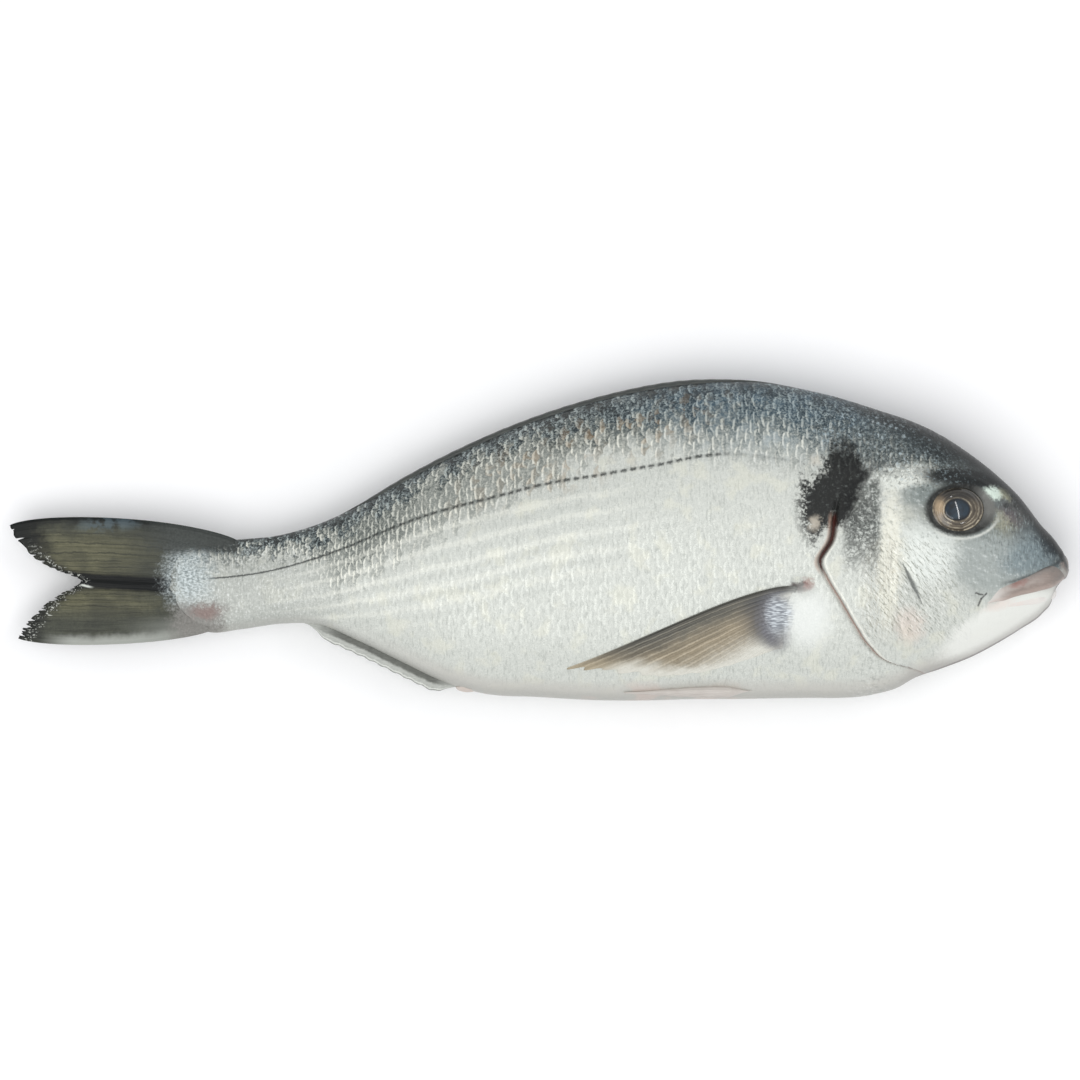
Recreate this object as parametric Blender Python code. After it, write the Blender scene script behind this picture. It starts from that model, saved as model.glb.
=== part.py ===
"""Whole raw sea bream, lying on its left flank: body, fins, lips and eyes grown together in one solid.

+X is the head, +Y the back and +Z up, away from the surface that the fish lies on.
The origin is under the middle of the fish, on that surface.
"""
import math

import bmesh
import bpy
import numpy as np

MM = 0.001

# Driving dimensions in millimetres. The outline is seen from above, with the right flank up.
# Each pair is the place along the fish and the place across it.
BACK_LINE = (
    (-106.0, -2.4), (-95.5, -0.6), (-84.3, 0.0), (-73.0, 1.3), (-61.7, 4.4), (-50.4, 9.8), (-39.1, 16.0),
    (-27.9, 22.0), (-5.3, 32.1), (17.3, 39.4), (39.8, 43.8), (51.1, 44.5), (62.4, 44.3), (73.7, 42.5),
    (96.2, 36.4), (107.5, 32.3), (118.8, 26.1), (130.1, 17.3), (135.7, 11.7), (141.3, 4.4), (146.4, -1.4),
    (148.4, -4.8), (149.2, -7.4),
)
BELLY_LINE = (
    (-106.0, -18.8), (-100.0, -23.6), (-92.0, -26.3), (-84.3, -25.5), (-73.0, -23.7), (-62.0, -24.2),
    (-51.0, -28.6), (-39.1, -34.4), (-28.0, -39.6), (-16.6, -43.2), (0.0, -44.5), (17.3, -45.3),
    (45.5, -45.0), (73.7, -44.6), (94.0, -43.8), (101.5, -41.6), (105.6, -39.2), (113.1, -36.5),
    (124.4, -32.0), (135.7, -25.2), (142.2, -20.6), (144.6, -17.6), (145.6, -14.6), (147.4, -11.8),
    (149.2, -9.8),
)
HALF_THICKNESS = (
    (-106.0, 1.0), (-95.5, 3.0), (-84.3, 4.6), (-73.0, 5.8), (-61.7, 7.6), (-44.8, 11.0), (-22.0, 14.8),
    (6.0, 17.8), (34.0, 19.6), (62.0, 20.0), (85.0, 19.8), (102.0, 18.6), (119.0, 15.6), (130.0, 12.8),
    (138.0, 10.2), (144.0, 7.6), (147.0, 5.6), (148.6, 3.9), (149.2, 2.2),
)
REST_HEIGHT = 17.6          # from the surface to the middle plane of the fish
TAIL_DROOP = 6.0            # how far the tip of the tail has sunk below that plane
DROOP_START = -20.0         # the tail sinks from here back
FISH_LENGTH = 300.0
RIDGE_POWER = 0.62          # above 0.5 the back runs up to a ridge
BROW_POWER = 0.46           # below 0.5 the forehead is broad
BROW_FROM = (84.0, 112.0)   # the back changes to the forehead between these places
BELLY_POWER = 0.52
KEEL_TO_SIDE = (-0.4, 0.0)  # shares of the half height where the belly changes to the rounder side
FLANK_FULLNESS = 2.1        # above 2 the flank is fuller than an oval

# The rear edge of the gill cover, as the place along the fish for each height across it.
GILL_EDGE = (
    (-40.0, 110.5), (-36.8, 107.2), (-34.5, 99.3), (-30.0, 93.4), (-24.4, 89.5), (-17.1, 85.2), (-10.0, 81.0),
    (-6.6, 79.6), (-0.1, 82.8), (7.2, 83.8), (14.0, 85.0), (40.0, 85.0),
)
GILL_REAR = 79.6            # the rearmost point of the gill cover
GILL_TOP = 9.0              # sections follow the gill cover from here
BEND_LOWEST = -32.0         # down to here
BEND_GROWS = (16.0, 77.0)   # where they start to follow it, and where they do so in full
BEND_FADES = (141.0, 84.0)
GILL_FADE = (15.0, 5.0)     # the edge of the gill cover fades away between these heights
GILL_STEP = 1.1             # how far the gill cover stands over the flank behind it
GILL_EDGE_WIDTH = 0.55
GILL_COVER_LENGTH = 16.0
GILL_SLIT = 1.3             # depth of the slit at its edge
GILL_SLIT_WIDTH = 0.9
CHEEK_EDGE = (
    (-32.0, 105.0), (-28.3, 102.7), (-19.6, 100.2), (-16.5, 98.9), (-5.8, 98.9), (6.0, 101.0), (40.0, 104.0),
)
CHEEK_FADE = (2.0, -6.0)
CHEEK_STEP = 0.5
CHEEK_EDGE_WIDTH = 1.3
CHEEK_LENGTH = 9.0
FIN_PIT = (74.6, -13.2)     # the hollow above the root of the breast fin
PIT_RADIUS = 2.6
PIT_DEPTH = 1.6

EYE_CENTRE = (117.7, 8.4)
EYE_RADII = (7.6, 6.5, 2.6)  # along the fish, across it, and out of the flank
SOCKET_EDGE = (1.7, 1.0)    # the socket falls away between these shares of the eye's radii
SOCKET_DEPTH = 0.7
EYE_INSET = 0.6             # the middle of the eyeball lies this far below the floor of the socket
NOSTRIL = (131.6, 9.6)
NOSTRIL_RADIUS = 1.26
NOSTRIL_DEPTH = 0.5

# The mouth line on one side, from the front of the lips back to the corner.
MOUTH_LINE = ((126.2, -17.8), (132.6, -15.9), (140.2, -13.8), (146.4, -11.9), (150.0, -10.2))
MOUTH_CORNER = 126.2
UPPER_LIP = (147.2, 2.5, 2.3)    # front of its middle line, radius, and how far above the mouth line it runs
LOWER_LIP = (145.3, 1.8, -1.7)
LIP_SUNK = 0.55             # share of a lip's radius by which its middle lies inside the skin
LIP_FRONT_SHARE = 0.45      # the front part of a lip, where it turns round the snout
LIP_CORNER_SHARE = 0.4      # a lip is this much thinner at the corner of the mouth
LIP_POINTS = 12
LIP_CROWDING = 1.6          # above 1 the points of a lip lie closer together at the front
LIP_ROUNDING = 0.8          # below 1 a lip turns round the snout bluntly

# The tail fin: each ray runs from the root line to the trailing edge, from the upper ray to the lower.
TAIL_ROOT = (
    (0.0, -84.0, -1.2), (0.15, -95.0, -4.4), (0.5, -102.0, -13.0), (0.85, -99.0, -21.5), (1.0, -92.0, -25.2),
)
TAIL_EDGE = (
    (0.0, -150.0, 3.4), (0.12, -147.0, -0.6), (0.24, -142.4, -5.4), (0.38, -136.0, -8.8),
    (0.5, -129.4, -11.8), (0.62, -135.0, -15.2), (0.76, -140.6, -19.2), (0.88, -144.8, -23.4),
    (1.0, -147.4, -27.6),
)
TAIL_BULGE = (4.8, 3.2)     # how far the uppermost and the lowest ray bow out from a straight line
TAIL_BULGE_POWER = 0.6      # below 1 they bow out early and evenly
TAIL_ROOT_THICKNESS = 3.4
TAIL_EDGE_THICKNESS = 1.2
TAIL_THINNING = 0.7         # below 1 the fin thins quickly behind its root
TAIL_FOLD = 0.55            # the upper lobe lies this much above the lower one
TAIL_FOLD_SHARES = (0.56, 0.46)
TAIL_RAYS = 14
RAY_RELIEF = 0.16

# The breast fin, folded back along the flank: roots, ray ends and thickness.
BREAST_ROOT = ((0.0, 70.2, -13.6), (0.35, 69.2, -19.5), (1.0, 68.6, -30.6))
BREAST_EDGE = (
    (0.0, 6.4, -36.7), (0.2, 19.0, -37.3), (0.4, 33.0, -38.8), (0.6, 46.5, -37.4), (0.8, 58.5, -33.9),
    (1.0, 66.6, -30.9),
)
BREAST_BULGE = 2.4          # how far its upper ray bows out, most of all near the root
BREAST_BULGE_SCALE = 4.7    # brings the highest point of the bow's curve to 1
BREAST_ROOT_RISE = 1.7
BREAST_ROOT_SLOPE = (0.08, 0.35)  # it reaches that rise over this share of its length, from this share of it
BREAST_EDGE_RISE = 0.5
BREAST_BURIED = 1.3         # how deep the underside runs inside the flank
BREAST_RAYS = 8
SURFACE_GAP = 0.35          # what lies under the flank stays this far off the surface

# Folded back fin and anal fin: rear and front end, rise, half width, and the front share that tapers.
BACK_FIN = (-58.0, 76.0, 1.0, 1.7, 0.30)
ANAL_FIN = (-66.0, -22.0, 4.0, 1.3, 0.20)
REAR_TAPER = 0.16
STRIP_SUNK = 2.6            # how deep a folded fin reaches into the body
STRIP_END_RISE = 0.12       # share of the rise that is left at the ends
STRIP_END_WIDTH = 0.3
SPINE_BUMPS = ((-21.0, 0.7), (-9.8, 0.7))
SPINE_BUMP_WIDTH = 2.4
STRIP_SECTIONS = 25
RING_SIDES = 8

# Folded belly fins and vent.
PELVIC_ENDS = (60.0, 24.0)
PELVIC_SIDE = 6.5           # each belly fin lies this far to its side of the keel
PELVIC_ABOVE_KEEL = 2.2
PELVIC_RADII = (2.1, 3.0)   # across the fish and out to its side
PELVIC_END_SHARE = 0.15
PELVIC_SECTIONS = 11
VENT_CENTRE = (-20.0, -42.3)
VENT_RADII = (3.4, 1.3, 2.4)

STATIONS = (                # where the sections of the body lie: start, end and how many
    (-106.0, -85.0, 6), (-81.0, 64.0, 26), (68.0, 77.0, 3), (78.6, 83.0, 5), (85.0, 139.0, 21),
    (141.0, 149.2, 7),
)
BACK_FROM = 0.72            # share of the half height above which the skin is dark
BELLY_FROM = -0.82          # and below which it is pale
SIDE_STEPS = 24             # faces from the belly edge to the back edge on one flank


def through(points, where):
    """Read a smooth curve that passes through a few points."""
    place, value = np.array(points, dtype=float).T
    step = np.diff(place)
    slope = np.diff(value) / step
    tangent = np.empty(len(place))
    tangent[1:-1] = (slope[:-1] * step[1:] + slope[1:] * step[:-1]) / (step[:-1] + step[1:])
    tangent[0], tangent[-1] = slope[0], slope[-1]
    where = np.clip(np.asarray(where, dtype=float), place[0], place[-1])
    span = np.clip(np.searchsorted(place, where, side="right") - 1, 0, len(step) - 1)
    f = (where - place[span]) / step[span]
    start = value[span] * (1 + 2 * f) * (1 - f) ** 2 + value[span + 1] * f * f * (3 - 2 * f)
    bend = step[span] * (tangent[span] * f * (1 - f) ** 2 - tangent[span + 1] * f * f * (1 - f))
    return start + bend


def ramp(value, low, high):
    """Rise smoothly from 0 at low to 1 at high."""
    f = np.clip((np.asarray(value, dtype=float) - low) / (high - low), 0.0, 1.0)
    return f * f * (3 - 2 * f)


def hill(distance, width):
    """1 at no distance, falling off smoothly over a width."""
    return np.exp(-(distance / width) ** 2)


def shelf(distance, width, length):
    """A step up across an edge, which fades away again over a length."""
    return ramp(distance, -width, width) * np.exp(-np.clip(distance, 0, None) / length)


def middle_height(x):
    """Height of the middle plane, which sinks towards the end of the tail."""
    back = np.clip((DROOP_START - np.asarray(x, dtype=float)) / (FISH_LENGTH / 2 + DROOP_START), 0.0, 1.2)
    return REST_HEIGHT - TAIL_DROOP * back ** 1.5


def outline(x):
    """Middle and half height of the body's outline."""
    back = through(BACK_LINE, x)
    belly = through(BELLY_LINE, x)
    return (back + belly) / 2, (back - belly) / 2


def flank(x, t):
    """Half thickness of the body at x, for t from -1 at the belly edge to 1 at the back edge."""
    back_power = RIDGE_POWER + (BROW_POWER - RIDGE_POWER) * ramp(x, *BROW_FROM)
    belly_power = BELLY_POWER + (0.5 - BELLY_POWER) * ramp(t, *KEEL_TO_SIDE)
    power = np.where(t > 0, back_power, belly_power)
    inside = np.clip(1 - np.abs(t) ** FLANK_FULLNESS, 0.0, 1.0)
    return through(HALF_THICKNESS, x) * inside ** power


def flank_at(x, y):
    """Half thickness of the body under a point of the outline seen from above."""
    middle, half = outline(x)
    return flank(x, np.clip((y - middle) / half, -1.0, 1.0))


def relief(x, y):
    """How far gill cover, cheek, socket, nostril and pit stand out of the flank or into it."""
    from_gill = x - through(GILL_EDGE, y)
    step = GILL_STEP * shelf(from_gill, GILL_EDGE_WIDTH, GILL_COVER_LENGTH)
    slit = GILL_SLIT * hill(from_gill + GILL_EDGE_WIDTH, GILL_SLIT_WIDTH)
    from_cheek = x - through(CHEEK_EDGE, y)
    ridge = shelf(from_cheek, CHEEK_EDGE_WIDTH, CHEEK_LENGTH) - hill(from_cheek, CHEEK_EDGE_WIDTH)
    eye_x, eye_y = EYE_CENTRE
    from_eye = np.hypot((x - eye_x) / EYE_RADII[0], (y - eye_y) / EYE_RADII[1])
    socket = SOCKET_DEPTH * ramp(from_eye, *SOCKET_EDGE)
    nostril = NOSTRIL_DEPTH * hill(np.hypot(x - NOSTRIL[0], y - NOSTRIL[1]), NOSTRIL_RADIUS)
    pit = PIT_DEPTH * hill(np.hypot(x - FIN_PIT[0], y - FIN_PIT[1]), PIT_RADIUS)
    raised = ramp(y, *GILL_FADE) * (step - slit) + ramp(y, *CHEEK_FADE) * CHEEK_STEP * ridge
    return raised - socket - nostril - pit


def body_point(station, t, side):
    """A point of the skin. Stations near the gills curve along the edge of the gill cover."""
    bend = ramp(station, *BEND_GROWS) * ramp(station, *BEND_FADES)
    x = station
    for _ in range(6):
        middle, half = outline(x)
        height = np.clip(middle + t * half, BEND_LOWEST, GILL_TOP)
        x = station + bend * (through(GILL_EDGE, height) - GILL_REAR)
    middle, half = outline(x)
    y = middle + t * half
    out = flank(x, t) + relief(x, y) * (1 - abs(t) ** 6)
    return (float(x), float(y), max(0.0, float(middle_height(x) + side * out)))


def side_heights():
    """Values of t up one flank, closer together at the two edges."""
    s = np.linspace(-1.0, 1.0, SIDE_STEPS + 1)
    return 0.8 * np.sin(s * math.pi / 2) + 0.2 * s


def make_material(name, red, green, blue, roughness, metallic=0.0):
    """Make one plain material, which the meshes find by its name."""
    material = bpy.data.materials.new(name)
    material.use_nodes = True
    shader = material.node_tree.nodes["Principled BSDF"]
    shader.inputs["Base Color"].default_value = (red, green, blue, 1.0)
    shader.inputs["Roughness"].default_value = roughness
    shader.inputs["Metallic"].default_value = metallic


def paint(mesh, paint_name):
    """Give a mesh all the fish's materials in one order, and set every face to the named one."""
    for material in bpy.data.materials:
        mesh.materials.append(material)
    number = mesh.materials.find(paint_name)
    for face in mesh.polygons:
        face.material_index = number


def add_mesh(name, points, faces, paint_name, collection):
    """Make an object from points in millimetres, with its faces turned outwards."""
    mesh = bpy.data.meshes.new(name)
    mesh.from_pydata([tuple(c * MM for c in point) for point in points], [], faces)
    shape = bmesh.new()
    shape.from_mesh(mesh)
    bmesh.ops.recalc_face_normals(shape, faces=shape.faces)
    shape.to_mesh(mesh)
    shape.free()
    paint(mesh, paint_name)
    item = bpy.data.objects.new(name, mesh)
    collection.objects.link(item)
    return item


def loft(name, rings, paint_name, collection):
    """Join rings of points that follow each other, and close both ends to a middle point."""
    count = len(rings[0])
    points = [point for ring in rings for point in ring]
    faces = []
    for r in range(len(rings) - 1):
        for k in range(count):
            here, after = r * count + k, r * count + (k + 1) % count
            faces.append((here, after, after + count, here + count))
    for r in (0, len(rings) - 1):
        points.append(tuple(np.mean(rings[r], axis=0)))
        for k in range(count):
            faces.append((r * count + k, r * count + (k + 1) % count, len(points) - 1))
    return add_mesh(name, points, faces, paint_name, collection)


def plate(name, top, under, paint_name, collection):
    """A thin solid between two matching grids of points."""
    rows, columns = len(top), len(top[0])
    points = [point for grid in (top, under) for row in grid for point in row]
    lower = rows * columns
    faces = []
    for r in range(rows - 1):
        for c in range(columns - 1):
            corner = r * columns + c
            square = (corner, corner + 1, corner + columns + 1, corner + columns)
            faces.append(square)
            faces.append(tuple(lower + k for k in reversed(square)))
    rim = [c for c in range(columns)]
    rim += [r * columns + columns - 1 for r in range(1, rows)]
    rim += [(rows - 1) * columns + c for c in range(columns - 2, -1, -1)]
    rim += [r * columns for r in range(rows - 2, 0, -1)]
    for k, here in enumerate(rim):
        after = rim[(k + 1) % len(rim)]
        faces.append((here, lower + here, lower + after, after))
    return add_mesh(name, points, faces, paint_name, collection)


def make_body(collection):
    """The body: sections from the root of the tail to the snout, with a dark back and a pale belly."""
    stations = np.concatenate([np.linspace(*run) for run in STATIONS])
    up_flank = side_heights()
    rings = []
    for station in stations:
        right = [body_point(station, t, 1) for t in up_flank]
        left = [body_point(station, t, -1) for t in up_flank[-2:0:-1]]
        rings.append(right + left)
    body = loft("sea_bream", rings, "silver flank", collection)
    back, belly = (body.data.materials.find(name) for name in ("slate back", "pale belly"))
    for face in body.data.polygons:
        middle, half = outline(face.center.x / MM)
        t = (face.center.y / MM - middle) / half
        if t > BACK_FROM:
            face.material_index = back
        elif t < BELLY_FROM:
            face.material_index = belly
    return body


def spread(points, share):
    """Read the two coordinates of a line whose points are listed with their share of its way."""
    return (through([(p[0], p[1]) for p in points], share), through([(p[0], p[2]) for p in points], share))


def tail_bulge(q, r):
    """How far across the fish a tail ray bows out: q from the upper ray to the lowest, r along it."""
    most = TAIL_BULGE[0] if q < 0.5 else TAIL_BULGE[1]
    return most * (1 - 2 * q) ** 3 * (4 * r * (1 - r)) ** TAIL_BULGE_POWER


def make_tail_fin(collection):
    """The forked tail fin, a thin plate with a ridge along each ray and one lobe over the other."""
    across = np.linspace(0.0, 1.0, 2 * TAIL_RAYS + 1)
    along = np.linspace(0.0, 1.0, 8)
    top, under = [], []
    for k, q in enumerate(across):
        root = spread(TAIL_ROOT, q)
        edge = spread(TAIL_EDGE, q)
        ridge = RAY_RELIEF if k % 2 else -RAY_RELIEF
        fold = TAIL_FOLD * float(ramp(q, *TAIL_FOLD_SHARES)) - TAIL_FOLD / 2
        upper_row, lower_row = [], []
        for r in along:
            x = root[0] + (edge[0] - root[0]) * r
            y = root[1] + (edge[1] - root[1]) * r + tail_bulge(q, r)
            thinner = (TAIL_ROOT_THICKNESS - TAIL_EDGE_THICKNESS) * r ** TAIL_THINNING
            half = (TAIL_ROOT_THICKNESS - thinner) / 2
            z = float(middle_height(x)) + fold * min(1.0, 2 * r)
            upper_row.append((x, y, z + half + ridge * min(1.0, 3 * r)))
            lower_row.append((x, y, z - half + ridge * min(1.0, 3 * r)))
        top.append(upper_row)
        under.append(lower_row)
    return plate("tail fin", top, under, "grey fin", collection)


def breast_bulge(q, r):
    """How far up the flank a ray of the breast fin bows, most of all in its first third."""
    return BREAST_BULGE * (1 - q) ** 2 * BREAST_BULGE_SCALE * r ** 0.7 * (1 - r) ** 2


def make_breast_fin(side, collection):
    """A breast fin folded back on its flank. Its underside runs inside the flank."""
    slope_end, slope_start = BREAST_ROOT_SLOPE
    across = np.linspace(0.0, 1.0, 2 * BREAST_RAYS + 1)
    along = np.linspace(0.0, 1.0, 10)
    top, under = [], []
    for k, q in enumerate(across):
        root = spread(BREAST_ROOT, q)
        edge = spread(BREAST_EDGE, q)
        ridge = RAY_RELIEF if k % 2 else -RAY_RELIEF
        outer_row, inner_row = [], []
        for r in along:
            x = root[0] + (edge[0] - root[0]) * r
            y = root[1] + (edge[1] - root[1]) * r + breast_bulge(q, r)
            out = float(flank_at(x, y))
            rise = BREAST_ROOT_RISE + (BREAST_EDGE_RISE - BREAST_ROOT_RISE) * r + ridge * min(1.0, 4 * r)
            rise *= slope_start + (1 - slope_start) * float(ramp(r, 0.0, slope_end))
            middle = float(middle_height(x))
            outer_row.append((x, y, max(middle + side * (out + rise), SURFACE_GAP)))
            inner_row.append((x, y, max(middle + side * (out - BREAST_BURIED), 2 * SURFACE_GAP)))
        top.append(outer_row)
        under.append(inner_row)
    return plate("breast fin", top, under, "grey fin", collection)


def edge_strip(name, fin, line, outward, bumps, collection):
    """A fin folded along the edge of the body: a rounded strip that tapers at both ends."""
    rear, front, rise, half_width, front_taper = fin
    rings = []
    for share in np.linspace(0.0, 1.0, STRIP_SECTIONS):
        x = rear + (front - rear) * share
        taper = float(ramp(share, 0.0, REAR_TAPER) * ramp(share, 1.0, 1.0 - front_taper))
        height = rise * (STRIP_END_RISE + (1 - STRIP_END_RISE) * taper)
        height += sum(size * float(hill(x - at, SPINE_BUMP_WIDTH)) for at, size in bumps)
        width = half_width * (STRIP_END_WIDTH + (1 - STRIP_END_WIDTH) * taper)
        y = float(through(line, x))
        z = float(middle_height(x))
        ring = []
        for k in range(RING_SIDES):
            angle = 2 * math.pi * (k + 0.5) / RING_SIDES
            reach = height if math.cos(angle) > 0 else STRIP_SUNK
            ring.append((x, y + outward * reach * math.cos(angle), z + width * math.sin(angle)))
        rings.append(ring)
    return loft(name, rings, "grey fin", collection)


def make_pelvic_fin(side, collection):
    """A belly fin folded flat beside the keel, thickest in its first third."""
    across, out = PELVIC_RADII
    rings = []
    for share in np.linspace(0.0, 1.0, PELVIC_SECTIONS):
        x = PELVIC_ENDS[0] + (PELVIC_ENDS[1] - PELVIC_ENDS[0]) * share
        full = float(ramp(share, 0.0, 0.25) * ramp(share, 1.3, 0.2))
        size = PELVIC_END_SHARE + (1 - PELVIC_END_SHARE) * full
        y = float(through(BELLY_LINE, x)) + PELVIC_ABOVE_KEEL
        z = float(middle_height(x)) + side * PELVIC_SIDE
        ring = []
        for k in range(RING_SIDES):
            angle = 2 * math.pi * k / RING_SIDES
            ring.append((x, y + across * size * math.cos(angle), z + out * size * math.sin(angle)))
        rings.append(ring)
    return loft("belly fin", rings, "pale fin", collection)


def make_ball(name, centre, radii, segments, paint_name, collection):
    """A rounded bump: an eye or the vent."""
    shape = bmesh.new()
    bmesh.ops.create_uvsphere(shape, u_segments=segments, v_segments=segments // 2 + 1, radius=MM)
    bmesh.ops.scale(shape, vec=radii, verts=shape.verts)
    bmesh.ops.translate(shape, vec=[c * MM for c in centre], verts=shape.verts)
    mesh = bpy.data.meshes.new(name)
    shape.to_mesh(mesh)
    shape.free()
    paint(mesh, paint_name)
    item = bpy.data.objects.new(name, mesh)
    collection.objects.link(item)
    return item


def make_eye(side, collection):
    """An eyeball, sunk in its socket and bulging a little out of the cheek."""
    x, y = EYE_CENTRE
    out = float(flank_at(x, y)) - SOCKET_DEPTH - EYE_INSET
    return make_ball("eye", (x, y, REST_HEIGHT + side * out), EYE_RADII, 20, "eye", collection)


def make_lip(name, lip, paint_name, collection):
    """A lip: a tapered tube from one corner of the mouth round the snout to the other."""
    front, radius, offset = lip
    one_side = []
    for share in np.linspace(1.0, 0.0, LIP_POINTS):
        x = front - (front - MOUTH_CORNER) * share ** LIP_CROWDING
        y = float(through(MOUTH_LINE, x)) + offset * (0.5 + 0.5 * float(ramp(share, 1.0, 0.5)))
        turn = math.sin(min(1.0, share / LIP_FRONT_SHARE) * math.pi / 2) ** LIP_ROUNDING
        out = max(float(flank_at(x, y)) - LIP_SUNK * radius, 0.0) * turn
        full = LIP_CORNER_SHARE + (1 - LIP_CORNER_SHARE) * float(ramp(share, 1.05, 0.4))
        one_side.append((x, y, out, radius * full))
    route = [(x, y, REST_HEIGHT + out, size) for x, y, out, size in one_side]
    route += [(x, y, REST_HEIGHT - out, size) for x, y, out, size in reversed(one_side[:-1])]
    curve = bpy.data.curves.new(name, "CURVE")
    curve.dimensions = "3D"
    curve.bevel_depth = MM
    curve.bevel_resolution = 2
    curve.use_fill_caps = True
    spline = curve.splines.new("POLY")
    spline.points.add(len(route) - 1)
    for point, (x, y, z, size) in zip(spline.points, route):
        point.co = (x * MM, y * MM, z * MM, 1.0)
        point.radius = size
    tube = bpy.data.objects.new(name, curve)
    collection.objects.link(tube)
    evaluated = tube.evaluated_get(bpy.context.evaluated_depsgraph_get())
    mesh = bpy.data.meshes.new_from_object(evaluated)
    shape = bmesh.new()
    shape.from_mesh(mesh)
    bmesh.ops.remove_doubles(shape, verts=shape.verts, dist=0.00001)
    bmesh.ops.recalc_face_normals(shape, faces=shape.faces)
    shape.to_mesh(mesh)
    shape.free()
    mesh.materials.clear()
    paint(mesh, paint_name)
    solid = bpy.data.objects.new(name + " solid", mesh)
    collection.objects.link(solid)
    bpy.data.objects.remove(tube)


def fuse(body, grown_on):
    """Join everything in the collection to the body and remove what was joined.

    The exact solver leaves open edges where the thin fins meet the skin, so the manifold one is used.
    """
    union = body.modifiers.new("grown together", "BOOLEAN")
    union.operation = "UNION"
    union.solver = "MANIFOLD"
    union.operand_type = "COLLECTION"
    union.collection = grown_on
    evaluated = body.evaluated_get(bpy.context.evaluated_depsgraph_get())
    joined = bpy.data.meshes.new_from_object(evaluated)
    body.modifiers.clear()
    body.data = joined
    for item in list(grown_on.objects):
        bpy.data.objects.remove(item)
    bpy.data.collections.remove(grown_on)
    joined.shade_smooth()
    joined.set_sharp_from_angle(angle=math.radians(40))


def main():
    for item in list(bpy.data.objects):
        bpy.data.objects.remove(item)
    fish = bpy.data.collections.new("sea_bream")
    grown_on = bpy.data.collections.new("grown on")
    for collection in (fish, grown_on):
        bpy.context.scene.collection.children.link(collection)
    make_material("silver flank", 0.62, 0.64, 0.62, 0.35, 0.35)
    make_material("slate back", 0.10, 0.12, 0.13, 0.4, 0.2)
    make_material("pale belly", 0.80, 0.80, 0.77, 0.4)
    make_material("grey fin", 0.10, 0.10, 0.08, 0.5)
    make_material("pale fin", 0.62, 0.58, 0.54, 0.5)
    make_material("lip", 0.45, 0.38, 0.36, 0.4)
    make_material("eye", 0.08, 0.09, 0.10, 0.1)
    body = make_body(fish)
    make_tail_fin(grown_on)
    for side in (1, -1):
        make_breast_fin(side, grown_on)
        make_pelvic_fin(side, grown_on)
        make_eye(side, grown_on)
    edge_strip("back fin", BACK_FIN, BACK_LINE, 1, SPINE_BUMPS, grown_on)
    edge_strip("anal fin", ANAL_FIN, BELLY_LINE, -1, (), grown_on)
    vent_x, vent_y = VENT_CENTRE
    make_ball("vent", (vent_x, vent_y, float(middle_height(vent_x))), VENT_RADII, 12, "pale fin", grown_on)
    make_lip("upper lip", UPPER_LIP, "lip", grown_on)
    make_lip("lower lip", LOWER_LIP, "pale belly", grown_on)
    fuse(body, grown_on)


main()
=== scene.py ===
"""Looks of the whole raw sea bream: scaled skin, lips, eyes and fins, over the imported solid.

Lengths are in millimetres until a mesh is made. +X is the head, +Y the back and +Z up, out of the right flank.
"""
import math

import bpy
import numpy as np
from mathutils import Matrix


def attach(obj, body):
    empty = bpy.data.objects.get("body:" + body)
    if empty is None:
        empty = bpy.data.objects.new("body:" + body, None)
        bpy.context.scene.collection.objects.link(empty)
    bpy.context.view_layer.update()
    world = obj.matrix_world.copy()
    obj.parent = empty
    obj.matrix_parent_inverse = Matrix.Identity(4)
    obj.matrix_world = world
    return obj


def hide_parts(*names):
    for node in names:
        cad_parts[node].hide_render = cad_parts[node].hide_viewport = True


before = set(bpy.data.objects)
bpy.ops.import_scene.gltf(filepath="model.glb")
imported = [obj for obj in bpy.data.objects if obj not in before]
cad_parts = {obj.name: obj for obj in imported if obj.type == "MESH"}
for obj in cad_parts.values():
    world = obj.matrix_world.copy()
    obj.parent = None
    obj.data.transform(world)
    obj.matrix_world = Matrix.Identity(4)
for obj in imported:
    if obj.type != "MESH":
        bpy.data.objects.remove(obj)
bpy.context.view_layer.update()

MM = 0.001
NODE = "sea_bream"
BODY = "root"

# The form of the body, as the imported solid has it.
BACK_LINE = (
    (-106.0, -2.4), (-95.5, -0.6), (-84.3, 0.0), (-73.0, 1.3), (-61.7, 4.4), (-50.4, 9.8), (-39.1, 16.0),
    (-27.9, 22.0), (-5.3, 32.1), (17.3, 39.4), (39.8, 43.8), (51.1, 44.5), (62.4, 44.3), (73.7, 42.5),
    (96.2, 36.4), (107.5, 32.3), (118.8, 26.1), (130.1, 17.3), (135.7, 11.7), (141.3, 4.4), (146.4, -1.4),
    (148.4, -4.8), (149.2, -7.4), (149.5, -8.6),
)
BELLY_LINE = (
    (-106.0, -18.8), (-100.0, -23.6), (-92.0, -26.3), (-84.3, -25.5), (-73.0, -23.7), (-62.0, -24.2),
    (-51.0, -28.6), (-39.1, -34.4), (-28.0, -39.6), (-16.6, -43.2), (0.0, -44.5), (17.3, -45.3),
    (45.5, -45.0), (73.7, -44.6), (94.0, -43.8), (101.5, -41.6), (105.6, -39.2), (113.1, -36.5),
    (124.4, -32.0), (135.7, -25.2), (142.2, -20.6), (144.6, -17.6), (145.6, -14.6), (147.4, -11.8),
    (149.2, -9.8), (149.5, -8.8),
)
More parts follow.
